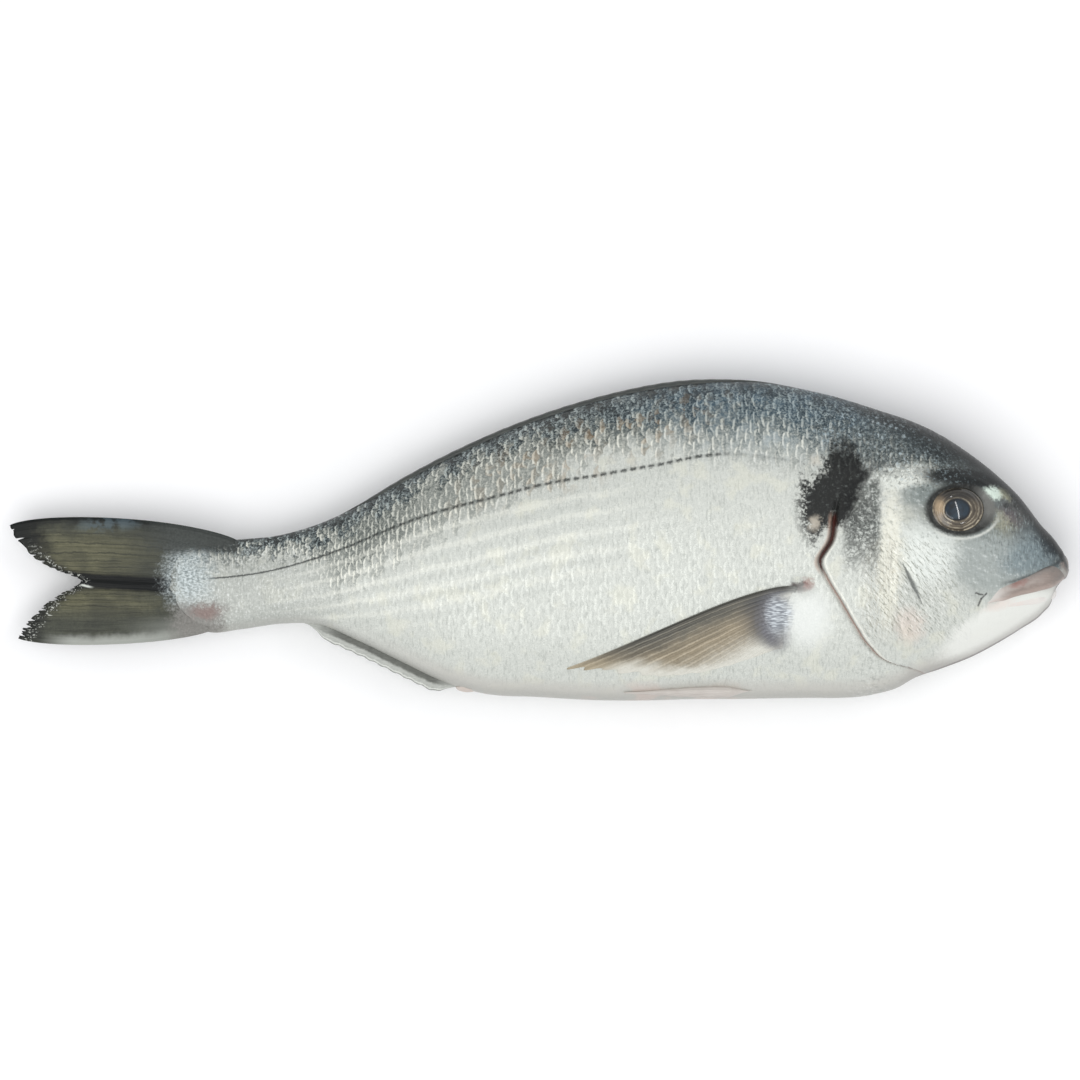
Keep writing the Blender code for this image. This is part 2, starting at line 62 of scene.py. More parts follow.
HALF_THICKNESS = (
    (-106.0, 1.0), (-95.5, 3.0), (-84.3, 4.6), (-73.0, 5.8), (-61.7, 7.6), (-44.8, 11.0), (-22.0, 14.8),
    (6.0, 17.8), (34.0, 19.6), (62.0, 20.0), (85.0, 19.8), (102.0, 18.6), (119.0, 15.6), (130.0, 12.8),
    (138.0, 10.2), (144.0, 7.6), (147.0, 5.6), (148.6, 3.9), (149.2, 2.2), (149.5, 0.1),
)
REST_HEIGHT = 17.6
TAIL_DROOP = 6.0
DROOP_START = -20.0
FISH_LENGTH = 300.0
RIDGE_POWER = 0.62
BROW_POWER = 0.46
BELLY_POWER = 0.52

# Lines on the flank, as the place along the fish for each height across it.
GILL_EDGE = (
    (-40.0, 110.5), (-36.8, 107.2), (-34.5, 99.3), (-30.0, 93.4), (-24.4, 89.5), (-17.1, 85.2), (-10.0, 81.0),
    (-6.6, 79.6), (-0.1, 82.8), (7.2, 83.8), (14.0, 85.0), (40.0, 85.0),
)
GILL_REAR = 79.6
GILL_TOP = 9.0
BEND_LOWEST = -32.0
GILL_STEP = 1.0
GILL_SLIT = 1.5
CHEEK_EDGE = (
    (-32.0, 105.0), (-28.3, 102.7), (-19.6, 100.2), (-16.5, 98.9), (-5.8, 98.9), (6.0, 101.0), (40.0, 104.0),
)
CHEEK_STEP = 0.4
CHEEK_GROOVE = ((101.9, -5.8), (107.8, -18.2))
FIN_PIT = (74.6, -13.2)
PIT_RADIUS = 2.6
PIT_DEPTH = 1.6

# The side line, as the height across the fish for each place along it.
SIDE_LINE = (
    (-106.0, -11.4), (-95.0, -11.1), (-77.5, -9.2), (-64.5, -5.8), (-53.8, -2.1), (-44.8, 1.8), (-31.2, 6.9),
    (-13.5, 11.7), (0.9, 15.4), (19.0, 18.5), (31.6, 20.7), (51.4, 24.0), (73.7, 21.9), (150.0, 16.0),
)
SCALE_LENGTH = 2.65         # from one scale to the next along a row, on the trunk
TAIL_SCALE_LENGTH = 1.6     # and at the root of the tail
SCALE_ROW = 3.0             # from one row of scales to the next on the trunk
SCALE_REACH = 0.62          # how far a scale's rounded edge stands out, as a share of the scale length
STRIPE_SPACING = 5.4        # from one pale stripe of the flank to the next
SCALE_ROUNDNESS = 4.2       # higher for a straighter free edge
SCALE_RISE = 0.06           # how far a scale's free edge stands over the next scale

# Eyes, nostrils and mouth.
EYE_CENTRE = (117.7, 8.4)
EYE_RADII = (7.6, 6.5, 2.6)
EYE_SUNK = 1.5
EYE_TILT = 0.85             # how much of the slope of the cheek the eyeball follows
SOCKET_RADII = (9.9, 7.1)
SOCKET_DEPTH = 0.9
NOSTRIL = (131.6, 9.6)
MOUTH_LINE = ((126.2, -17.8), (132.6, -15.9), (140.2, -13.8), (146.4, -11.9), (150.0, -10.2))
MOUTH_CORNER = 126.2
UPPER_LIP = (        # place along the fish, height of the middle line, half height
    (126.0, -17.6, 0.5), (127.8, -15.8, 2.1), (134.6, -13.1, 2.8), (139.8, -11.6, 3.1), (145.0, -9.5, 3.5),
    (147.6, -7.6, 3.4),
)
LOWER_LIP = (
    (126.0, -18.8, 0.3), (130.0, -18.6, 1.0), (136.0, -17.4, 1.4), (141.0, -16.4, 1.6), (144.7, -15.2, 1.6),
)
# The fold's darkness is painted shade.
MOUTH_FOLD = (              # the small dark fold at the corner of the mouth, as short lines
    ((122.9, -15.1), (124.8, -15.6)), ((125.9, -15.2), (124.4, -16.7)), ((124.4, -16.7), (123.6, -18.6)),
)
LIP_FRONT_SHARE = 0.45

# Fins, each with points listed by their share of the way from the upper ray to the lower.
TAIL_ROOT = ((0.0, -84.0, -1.2), (0.15, -95.0, -4.4), (0.5, -102.0, -13.0), (0.85, -99.0, -21.5), (1.0, -92.0, -25.2))
TAIL_EDGE = (
    (0.0, -150.0, 3.4), (0.12, -147.0, -0.6), (0.24, -142.4, -5.4), (0.38, -136.0, -8.8),
    (0.5, -129.4, -11.8), (0.62, -135.0, -15.2), (0.76, -140.6, -19.2), (0.88, -144.8, -23.4),
    (1.0, -147.4, -27.6),
)
TAIL_BULGE = (4.8, 3.2)     # how far the uppermost and the lowest ray bow out from a straight line
TAIL_BULGE_POWER = 0.6      # below 1 they bow out early and evenly
TAIL_ROOT_THICKNESS = 3.2
TAIL_EDGE_THICKNESS = 0.5
TAIL_FOLD = 0.55
TAIL_RAYS = 17
BREAST_ROOT = ((0.0, 72.6, -13.4), (0.35, 70.4, -19.5), (1.0, 68.6, -30.6))
BREAST_EDGE = (
    (0.0, 6.4, -36.7), (0.2, 19.0, -37.3), (0.4, 33.0, -38.8), (0.6, 46.5, -37.4), (0.8, 58.5, -33.9), (1.0, 66.6, -30.9),
)
BREAST_BULGE = 2.8          # how far its upper ray bows out, most of all near the root
BREAST_BULGE_SCALE = 4.7    # brings the highest point of the bow's curve to 1
BREAST_RAYS = 18
BACK_FIN_ENDS = (-58.0, 76.0)
ANAL_FIN_ENDS = (-66.0, -22.0)
PELVIC_ENDS = (60.0, 24.0)
PELVIC_SIDE = 6.5
VENT_CENTRE = (-20.0, -41.7)
VENT_RADII = (3.4, 1.3, 2.4)

# How finely the skin is divided: sections along the fish and rows up one flank.
SKIN_RUNS = (
    (-106.0, -96.0, 26), (-95.6, 76.0, 322), (76.4, 83.6, 24), (84.0, 112.0, 62), (112.4, 140.0, 68),
    (140.4, 147.0, 20), (147.2, 149.0, 10), (149.1, 149.5, 7),
)
SKIN_ROWS = 176


def through(points, where):
    """Read a smooth curve that passes through a few points."""
    place, value = np.array(points, dtype=float).T
    step = np.diff(place)
    slope = np.diff(value) / step
    tangent = np.empty(len(place))
    tangent[1:-1] = (slope[:-1] * step[1:] + slope[1:] * step[:-1]) / (step[:-1] + step[1:])
    tangent[0], tangent[-1] = slope[0], slope[-1]
    where = np.clip(np.asarray(where, dtype=float), place[0], place[-1])
    span = np.clip(np.searchsorted(place, where, side="right") - 1, 0, len(step) - 1)
    f = (where - place[span]) / step[span]
    start = value[span] * (1 + 2 * f) * (1 - f) ** 2 + value[span + 1] * f * f * (3 - 2 * f)
    bend = step[span] * (tangent[span] * f * (1 - f) ** 2 - tangent[span + 1] * f * f * (1 - f))
    return start + bend


def ramp(value, low, high):
    """Rise smoothly from 0 at low to 1 at high."""
    f = np.clip((np.asarray(value, dtype=float) - low) / (high - low), 0.0, 1.0)
    return f * f * (3 - 2 * f)


def wander(x, y, size, seed):
    """A slow random wave from -1 to 1, about size wide, for unevenness in shapes."""
    draw = np.random.default_rng(seed)
    total = 0.0
    for _ in range(6):
        angle = draw.uniform(0, 2 * math.pi)
        stretch = 2 * math.pi / (size * draw.uniform(0.7, 1.5))
        phase = draw.uniform(0, 2 * math.pi)
        total = total + np.sin((x * math.cos(angle) + y * math.sin(angle)) * stretch + phase)
    return total / 3.2


def hashed(a, b):
    """A steady random number from 0 to 1 for each pair of whole numbers."""
    value = np.sin(a * 12.9898 + b * 78.233) * 43758.5453
    return value - np.floor(value)


def tail_bulge(across, reach):
    """How far across the fish a tail ray bows out."""
    most = np.where(across < 0.5, TAIL_BULGE[0], TAIL_BULGE[1])
    return most * (1 - 2 * across) ** 3 * np.clip(4 * reach * (1 - reach), 0.0, 1.0) ** TAIL_BULGE_POWER


def breast_bulge(across, reach):
    """How far up the flank a ray of the breast fin bows, most of all in its first third."""
    return BREAST_BULGE * (1 - across) ** 2 * BREAST_BULGE_SCALE * reach ** 0.7 * (1 - reach) ** 2


def middle_height(x):
    """Height of the middle plane, which sinks towards the end of the tail."""
    back = np.clip((DROOP_START - np.asarray(x, dtype=float)) / (FISH_LENGTH / 2 + DROOP_START), 0.0, 1.2)
    return REST_HEIGHT - TAIL_DROOP * back ** 1.5


def outline(x):
    """Middle and half height of the body's outline."""
    back = through(BACK_LINE, x)
    belly = through(BELLY_LINE, x)
    return (back + belly) / 2, (back - belly) / 2


def flank(x, t):
    """Half thickness of the body at x, for t from -1 at the belly edge to 1 at the back edge."""
    head = ramp(x, 84.0, 112.0)
    back_power = RIDGE_POWER + (BROW_POWER - RIDGE_POWER) * head
    power = np.where(t > 0, back_power, BELLY_POWER + (0.5 - BELLY_POWER) * ramp(t, -0.4, 0.0))
    inside = np.clip(1 - np.abs(t) ** 2.1, 0.0, 1.0)
    return through(HALF_THICKNESS, x) * inside ** power


def flank_at(x, y):
    """Half thickness of the body under a point of the outline seen from above."""
    middle, half = outline(x)
    return flank(x, np.clip((y - middle) / half, -1.0, 1.0))


def from_segment(x, y, ends):
    """Distance from a straight line between two points."""
    (ax, ay), (bx, by) = ends
    along = ((x - ax) * (bx - ax) + (y - ay) * (by - ay)) / ((bx - ax) ** 2 + (by - ay) ** 2)
    along = np.clip(along, 0.0, 1.0)
    return np.hypot(x - ax - along * (bx - ax), y - ay - along * (by - ay))


def bump(x, y, centre, radii):
    """A round hill, 1 at its centre."""
    return np.exp(-((x - centre[0]) / radii[0]) ** 2 - ((y - centre[1]) / radii[1]) ** 2)


def gill_relief(x, y):
    """The gill cover's edge over the flank, its slit, and the hollow at the breast fin's root."""
    behind_edge = x - through(GILL_EDGE, y)
    on_cover = ramp(y, GILL_TOP + 6.0, GILL_TOP - 4.0)
    step = GILL_STEP * ramp(behind_edge, -0.5, 0.4) * np.exp(-np.clip(behind_edge, 0, None) / 16.0)
    slit = GILL_SLIT * np.exp(-((behind_edge + 0.6) / 0.7) ** 2) * (0.45 + 0.55 * ramp(y, -12.0, -4.0))
    pit = PIT_DEPTH * bump(x, y, FIN_PIT, (PIT_RADIUS, PIT_RADIUS))
    return on_cover * (step - slit) - pit


def cheek_relief(x, y):
    """The ridge and groove of the cheek, with the plates round them."""
    cheek = x - through(CHEEK_EDGE, y)
    on_cheek = ramp(y, 2.0, -6.0)
    ridge = ramp(cheek, -1.0, 1.0) * np.exp(-np.clip(cheek, 0, None) / 9.0) - 0.8 * np.exp(-(cheek / 1.1) ** 2)
    groove = np.exp(-(from_segment(x, y, CHEEK_GROOVE) / 1.1) ** 2)
    behind = bump(x, y, (93.5, -10.0), (4.5, 12.0))
    return on_cheek * CHEEK_STEP * ridge - 0.7 * groove + 0.5 * behind


def face_relief(x, y):
    """Eye socket, brow, nostrils, the fold at the corner of the mouth and the jaw."""
    round_eye = np.hypot((x - EYE_CENTRE[0] - 0.9) / SOCKET_RADII[0], (y - EYE_CENTRE[1]) / SOCKET_RADII[1])
    socket = SOCKET_DEPTH * ramp(round_eye, 1.12, 0.8)
    rim = 0.35 * np.exp(-((round_eye - 1.18) / 0.13) ** 2)
    brow = 0.9 * bump(x, y, (117.0, 17.6), (10.0, 2.8))
    nostrils = 0.8 * bump(x, y, NOSTRIL, (0.9, 0.7)) + 0.5 * bump(x, y, (NOSTRIL[0] + 2.6, NOSTRIL[1] - 0.4), (0.5, 0.5))
    fold = 0.8 * bump(x, y, (124.2, -17.4), (1.2, 2.6))
    jaw = 0.6 * bump(x, y, (128.0, -24.5), (12.0, 3.6))
    upper_jaw = 0.5 * bump(x, y, (131.5, -10.6), (8.0, 2.6))
    return rim + brow + jaw + upper_jaw - socket - nostrils - fold


def scale_rows(x, t, y, z):
    """Place of each skin point among the scales: along a row, and in rows up from the side line."""
    shrink = ramp(x, -88.0, -20.0)
    table = np.linspace(-110.0, 152.0, 800)
    lengths = TAIL_SCALE_LENGTH + (SCALE_LENGTH - TAIL_SCALE_LENGTH) * ramp(table, -95.0, -10.0)
    along = np.interp(x, table, np.cumsum((table[1] - table[0]) / lengths))
    step = np.hypot(np.diff(y, axis=1), np.diff(z, axis=1))
    arc = np.concatenate([np.zeros((len(x), 1)), np.cumsum(step, axis=1)], axis=1)
    middle, half = outline(x)
    on_line = np.clip((through(SIDE_LINE, x) - middle) / half, -0.98, 0.98)
    start = np.array([np.interp(0.0, t[k] - on_line[k], arc[k]) for k in range(len(x))])
    row_height = SCALE_ROW * (0.5 + 0.5 * shrink)
    rows = (arc - start[:, None]) / row_height
    uneven = ramp(np.abs(rows), 0.3, 1.2)
    along = along + 0.16 * wander(x, y, 15.0, 3) + 0.05 * wander(x, y, 4.0, 4)
    rows = rows + uneven * (0.10 * wander(x, y, 17.0, 5) + 0.04 * wander(x, y, 5.0, 6))
    return along, rows


def scaliness(x, y, t):
    """1 where scales cover the skin and 0 on the bare skin of the face."""
    face = ramp(x, 104.0, 113.0) * ramp(y, 24.0, 12.0)
    snout = ramp(x, 113.0, 122.0)
    lower_face = ramp(x - through(CHEEK_EDGE, y), 3.0, 14.0) * ramp(y, 6.0, 0.0)
    bare = np.maximum(np.maximum(face, snout), lower_face * 0.8)
    throat = ramp(x, 88.0, 100.0) * ramp(y, -26.0, -33.0)
    belly = ramp(t, -0.8, -0.97) * 0.7
    by_fin = ramp(np.hypot((x - 74.5) / 7.5, (y + 21.0) / 8.5), 1.2, 0.7)
    return (1 - bare) * (1 - throat) * (1 - belly) * (1 - 0.85 * by_fin)


def scale_relief(along, rows, scaly):
    """Overlapping scales with rounded edges that face the tail, the front ones over those behind."""
    best, top = None, None
    for k in (0, 1):
        row = np.floor(rows) + k
        off = np.abs(rows - row)
        reach = SCALE_REACH * (1 - off ** SCALE_ROUNDNESS)
        place = along - 0.5 * (row % 2) + reach
        number = np.floor(place)
        from_edge = place - number
        rise = (0.7 + 0.6 * hashed(number, row)) * (1 - from_edge)
        score = reach - from_edge
        top = rise if best is None else np.where(score > best, rise, top)
        best = score if best is None else np.maximum(score, best)
    return SCALE_RISE * top * scaly


def to_points(x, y, z):
    """Stack three coordinate grids."""
    return np.stack([x, y, z], axis=-1)


def grid_normals(points, closed):
    """Unit normals of a grid of points. The second direction may close on itself."""
    first = np.gradient(points, axis=0)
    if closed:
        second = (np.roll(points, -1, axis=1) - np.roll(points, 1, axis=1)) / 2
    else:
        second = np.gradient(points, axis=1)
    normal = np.cross(first, second)
    return normal / np.maximum(np.linalg.norm(normal, axis=-1, keepdims=True), 1e-12)


def grid_faces(rows, columns, closed=False, flip=False):
    """Squares between the points of a grid."""
    r, c = np.meshgrid(np.arange(rows - 1), np.arange(columns if closed else columns - 1), indexing="ij")
    after = (c + 1) % columns
    corners = (r * columns + c, r * columns + after, (r + 1) * columns + after, (r + 1) * columns + c)
    if flip:
        corners = corners[::-1]
    return np.stack(corners, axis=-1).reshape(-1, 4)


def make_object(name, points, faces, finish, normals=None, attributes=()):
    """Make a visible piece from points in millimetres, and let it stand for the solid."""
    mesh = bpy.data.meshes.new(name)
    points = np.asarray(points, dtype=float).reshape(-1, 3) * MM
    mesh.from_pydata(points.tolist(), [], [list(face) for face in faces])
    mesh.shade_smooth()
    for label, values in attributes:
        layer = mesh.attributes.new(label, "FLOAT_VECTOR", "POINT")
        layer.data.foreach_set("vector", np.asarray(values, dtype=np.float32).reshape(-1))
    if normals is not None:
        mesh.normals_split_custom_set_from_vertices(np.asarray(normals).reshape(-1, 3).tolist())
    mesh.materials.append(finish)
    piece = bpy.data.objects.new(name, mesh)
    bpy.context.scene.collection.objects.link(piece)
    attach(piece, BODY)
    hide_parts(NODE)
    return piece


def plate_object(name, top, under, finish, attributes):
    """A thin closed piece between two matching grids. Each attribute is given for one grid."""
    rows, columns = top.shape[:2]
    lower = rows * columns
    face_list = [grid_faces(rows, columns), grid_faces(rows, columns, flip=True) + lower]
    rim = list(range(columns)) + [r * columns + columns - 1 for r in range(1, rows)]
    rim += [(rows - 1) * columns + c for c in range(columns - 2, -1, -1)]
    rim += [r * columns for r in range(rows - 2, 0, -1)]
    rim = np.array(rim)
    after = np.roll(rim, -1)
    face_list.append(np.stack([rim, lower + rim, lower + after, after], axis=-1))
    faces = np.concatenate(face_list)
    points = np.concatenate([top.reshape(-1, 3), under.reshape(-1, 3)])
    across, along = top[1, 1] - top[0, 1], top[0, 2] - top[0, 1]
    outwards = top[0, 0] - under[0, 0]
    if np.dot(np.cross(across, along), outwards) > 0:
        faces = faces[:, ::-1]
    doubled = [(label, np.concatenate([values.reshape(-1, 3)] * 2)) for label, values in attributes]
    return make_object(name, points, faces, finish, attributes=doubled)


def tube_object(name, middle, up, out, finish, sides):
    """A closed tube round a line of points, with two half widths at each point."""
    middle = np.asarray(middle, dtype=float)
    along = np.gradient(middle, axis=0)
    along /= np.linalg.norm(along, axis=1, keepdims=True)
    side = np.cross(along, np.array([0.0, 1.0, 0.0]))
    side /= np.maximum(np.linalg.norm(side, axis=1, keepdims=True), 1e-9)
    rise = np.cross(side, along)
    angle = np.linspace(0, 2 * math.pi, sides, endpoint=False)
    rings = (
        middle[:, None]
        + rise[:, None] * (np.asarray(up)[:, None] * np.cos(angle))[..., None]
        + side[:, None] * (np.asarray(out)[:, None] * np.sin(angle))[..., None]
    )
    around = np.broadcast_to(np.cos(angle), rings.shape[:2])
    place = [("lip_place", to_points(around * 0, around, around * 0))]
    faces = grid_faces(len(middle), sides, closed=True, flip=True)
    make_object(name, rings, faces, finish, attributes=place)


# Shader maths


class Wire:
    """A shader socket that takes part in sums."""

    def __init__(self, finish, socket):
        self.finish = finish
        self.socket = socket

    def maths(self, operation, *others):
        return self.finish.make("ShaderNodeMath", {"operation": operation}, dict(enumerate((self, *others))))

    def __add__(self, other):
        return self.maths("ADD", other)

    def __radd__(self, other):
        return self.maths("ADD", other)

    def __sub__(self, other):
        return self.maths("SUBTRACT", other)

    def __rsub__(self, other):
        return self.finish.make("ShaderNodeMath", {"operation": "SUBTRACT"}, {0: other, 1: self})

    def __mul__(self, other):
        return self.maths("MULTIPLY", other)

    def __rmul__(self, other):
        return self.maths("MULTIPLY", other)

    def __truediv__(self, other):
        return self.maths("DIVIDE", other)

    def __pow__(self, other):
        return self.maths("POWER", other)

    def ramp(self, low, high):
        """Rise smoothly from 0 at low to 1 at high, or fall if low is the larger."""
        if low > high:
            return 1 - self.ramp(high, low)
        return self.finish.make(
            "ShaderNodeMapRange", {"interpolation_type": "SMOOTHSTEP"}, {0: self, 1: low, 2: high}
        )

    def near(self, value, width):
        """1 where the socket equals a value, falling to 0 at a distance of width."""
        return (self - value).maths("ABSOLUTE").ramp(width, 0.0)

    def hold(self):
        """Keep within 0 and 1."""
        return self.finish.make("ShaderNodeClamp", {}, {0: self})

    def or_else(self, other, share):
        """This number where share is 0, and the other where it is 1."""
        return self + (other - self) * share


class Finish:
    """One material and its nodes."""

    def __init__(self, name):
        self.material = bpy.data.materials.new(name)
        self.material.use_nodes = True
        self.tree = self.material.node_tree
        self.tree.nodes.clear()

    def make(self, kind, settings, values, out=0):
        """Make one node: its settings first, then the values or links of its sockets."""
        node = self.tree.nodes.new(kind)
        for key, value in settings.items():
            setattr(node, key, value)
        for key, value in values.items():
            if isinstance(value, Wire):
                self.tree.links.new(value.socket, node.inputs[key])
            else:
                node.inputs[key].default_value = value
        return Wire(self, node.outputs[out]) if node.outputs else None

    def attribute(self, label):
        return self.split(self.make("ShaderNodeAttribute", {"attribute_name": label}, {}, out="Vector"))

    def place(self):
        """Coordinates on the object, in millimetres."""
        raw = self.make("ShaderNodeTexCoord", {}, {}, out="Object")
        return self.make("ShaderNodeVectorMath", {"operation": "SCALE"}, {0: raw, "Scale": 1 / MM})

    def split(self, vector):
        node = self.make("ShaderNodeSeparateXYZ", {}, {0: vector})
        return tuple(Wire(self, socket) for socket in node.socket.node.outputs)

    def join(self, x, y, z=0.0):
        return self.make("ShaderNodeCombineXYZ", {}, {0: x, 1: y, 2: z})

    def noise(self, vector, scale, detail=2.0, rough=0.5):
        return self.make(
            "ShaderNodeTexNoise", {}, {"Vector": vector, "Scale": scale, "Detail": detail, "Roughness": rough}
        )

    def emboss(self, vector, scale, shift, detail=2.0, rough=0.6):
        """Painted light and shade on the sides of small knobs, about -0.3 to 0.3."""
        moved = self.make("ShaderNodeVectorMath", {"operation": "ADD"}, {0: vector, 1: shift})
        return self.noise(moved, scale, detail, rough) - self.noise(vector, scale, detail, rough)

    def cells(self, vector, scale):
        """Distance from the edges between small uneven cells."""
        return self.make(
            "ShaderNodeTexVoronoi", {"feature": "DISTANCE_TO_EDGE"}, {"Vector": vector, "Scale": scale}, out="Distance"
        )

    def dice(self, a, b):
        """Three random numbers for each pair of whole numbers."""
        drawn = self.make("ShaderNodeTexWhiteNoise", {"noise_dimensions": "2D"}, {"Vector": self.join(a, b)}, out="Color")
        return self.split(drawn)

    def blend(self, share, first, second):
        """Mix two colours."""
        return self.make("ShaderNodeMix", {"data_type": "RGBA"}, {0: share, 6: first, 7: second}, out=2)

    def shades(self, value, stops):
        """A colour ramp through a few named colours."""
        node = self.make("ShaderNodeValToRGB", {}, {0: value})
        elements = node.socket.node.color_ramp.elements
        elements[0].position, elements[0].color = stops[0]
        elements[1].position, elements[1].color = stops[-1]
        for position, colour in stops[1:-1]:
            elements.new(position).color = colour
        return node

    def oval(self, x, y, centre, radii, turn=0.0):
        """Distance from the middle of an oval, 1 on its edge."""
        cos, sin = math.cos(math.radians(turn)), math.sin(math.radians(turn))
        dx, dy = x - centre[0], y - centre[1]
        long_way = (dx * cos + dy * sin) / radii[0]
        short_way = (dy * cos - dx * sin) / radii[1]
        return (long_way * long_way + short_way * short_way).maths("SQRT")

    def spot(self, x, y, centre, radii, turn=0.0, soft=0.4):
        """1 inside an oval patch and 0 outside, with a soft edge."""
        return self.oval(x, y, centre, radii, turn).ramp(1 + soft, 1 - soft)

    def line(self, x, y, ends):
        """Distance from a straight line between two points."""
        (ax, ay), (bx, by) = ends
        square = (bx - ax) ** 2 + (by - ay) ** 2
        share = ((x - ax) * ((bx - ax) / square) + (y - ay) * ((by - ay) / square)).hold()
        dx, dy = x - ax - share * (bx - ax), y - ay - share * (by - ay)
        return (dx * dx + dy * dy).maths("SQRT")

    def surface(self, colour, rough, metallic=0.0, coat=0.0, coat_rough=0.1, specular=0.5, normal=None):
        values = {
            "Base Color": colour, "Roughness": rough, "Metallic": metallic, "Coat Weight": coat,
            "Coat Roughness": coat_rough, "Specular IOR Level": specular,
        }
        if normal is not None:
            values["Normal"] = normal
        shader = self.make("ShaderNodeBsdfPrincipled", {}, values)
        self.make("ShaderNodeOutputMaterial", {}, {"Surface": shader})
        return self.material

    def bumps(self, height, depth, strength=1.0):
        """Fine unevenness, with its depth in millimetres."""
        return self.make(
            "ShaderNodeBump", {}, {"Height": height, "Distance": depth * MM, "Strength": strength}, out="Normal"
        )


def paint(red, green, blue):
    """A colour from the shades seen in daylight, 0 to 255."""
    def linear(value):
        value = value / 255
        return value / 12.92 if value <= 0.04045 else ((value + 0.055) / 1.055) ** 2.4
    return (linear(red), linear(green), linear(blue), 1.0)


# Colours of the skin from the back edge down, between the bright scale edges and on them.
BACK_DEEP = (
    (0.0, paint(26, 31, 31)), (0.10, paint(28, 36, 38)), (0.28, paint(48, 58, 61)), (0.46, paint(92, 98, 94)),
    (0.68, paint(150, 154, 148)), (0.88, paint(190, 193, 186)), (1.0, paint(198, 201, 194)),
)
BACK_BRIGHT = (
    (0.0, paint(62, 68, 66)), (0.10, paint(120, 130, 130)), (0.28, paint(160, 170, 168)), (0.46, paint(192, 194, 184)),
    (0.68, paint(226, 226, 214)), (0.88, paint(232, 233, 225)), (1.0, paint(229, 231, 223)),
)

# Patches of the face: centre, radii, turn, softness, colour and strength, painted in this order.
FACE_PATCHES = (
    ("crown", (110.0, 28.4), (25.0, 4.8), -31, 0.55, (27, 33, 34), 0.86),
    ("nape", (97.0, 25.0), (10.0, 6.0), -20, 0.6, (96, 106, 107), 0.40),
    ("snout side", (135.5, 2.5), (14.0, 9.4), -52, 0.40, (106, 115, 116), 0.92),
    ("silver cheek", (126.5, -6.5), (11.5, 9.6), -12, 0.45, (152, 159, 156), 0.90),
    ("blue-grey over the lip", (138.5, -5.0), (8.0, 5.0), 22, 0.5, (120, 134, 138), 0.80),
    ("white under the eye", (109.5, -3.5), (7.6, 9.0), -6, 0.5, (222, 227, 221), 0.80),
    ("cream gill cover", (98.6, -5.0), (3.0, 19.0), -2, 0.4, (230, 229, 214), 0.75),
    ("shade round the eye", (117.0, 10.4), (13.6, 9.2), -8, 0.5, (108, 115, 112), 0.72),
    ("pale patch", (102.6, 17.6), (7.6, 3.1), 7, 0.45, (226, 229, 220), 0.92),
    ("shade below the patch", (107.4, 12.4), (5.0, 2.6), 0, 0.5, (118, 128, 126), 0.60),
    ("brow shadow", (119.6, 17.2), (12.0, 2.8), -6, 0.35, (16, 19, 19), 0.97),
    ("edge of the snout", (136.8, 11.2), (20.0, 3.8), -47, 0.7, (22, 27, 28), 0.95),
    ("brown in front of the eye", (133.0, 7.2), (5.0, 4.8), -40, 0.6, (80, 76, 72), 0.60),
    ("snout tip", (144.6, -1.0), (5.6, 3.2), -52, 0.7, (30, 36, 42), 0.90),
    ("mint spot", (127.9, 13.2), (2.7, 1.9), -20, 0.3, (214, 228, 216), 0.95),
    ("yellow beside it", (131.4, 12.6), (2.2, 1.5), -45, 0.5, (176, 176, 148), 0.60),
    ("cream corner", (130.2, 5.4), (1.9, 2.6), 20, 0.6, (184, 182, 160), 0.55),
    ("pink cheek", (104.2, -23.8), (4.0, 4.6), 20, 0.5, (218, 200, 188), 0.50),
    ("jaw", (130.5, -24.0), (19.0, 6.2), 27, 0.25, (226, 227, 221), 0.90),
    ("pink below the mouth", (129.6, -18.6), (4.0, 1.1), 14, 0.8, (222, 204, 194), 0.45),
    ("front of the snout", (150.0, -7.6), (2.6, 4.0), 0, 0.4, (136, 126, 120), 0.95),
    ("olive in front of the eye", (130.8, 3.4), (3.4, 2.6), 20, 0.8, (142, 142, 122), 0.45),
    ("plum on the snout", (132.8, 6.4), (3.0, 1.4), -50, 0.8, (104, 84, 94), 0.35),
)

# The black blotch behind the head: centre, radii, turn and strength of each part.
BLOTCH = (
    ((85.5, 23.4), (4.4, 6.4), 0, 1.0), ((84.6, 16.8), (6.4, 6.4), 0, 1.2), ((82.0, 9.8), (6.0, 6.6), 0, 1.2),
    ((75.6, 7.4), (4.4, 9.6), 0, 1.0), ((91.0, 19.4), (4.2, 2.6), 10, 0.65), ((88.0, 7.0), (3.4, 5.0), 0, 0.35),
)


def scale_pattern(s, along, rows):
    """The scale on top at a point: how far it is from its free edge and from its middle, and its dice."""
    found = []
    first = rows.maths("FLOOR")
    for k in (0, 1):
        row = first + k
        off = (rows - row).maths("ABSOLUTE")
        reach = SCALE_REACH - SCALE_REACH * off ** SCALE_ROUNDNESS
        place = along - 0.5 * row.maths("FLOORED_MODULO", 2.0) + reach
        number = place.maths("FLOOR")
        from_edge = place - number
        found.append((reach - from_edge, from_edge, off, number, row))
    second = found[1][0].maths("GREATER_THAN", found[0][0])
    from_edge, off, number, row = (found[0][k].or_else(found[1][k], second) for k in (1, 2, 3, 4))
    return from_edge, off, s.dice(number, row)


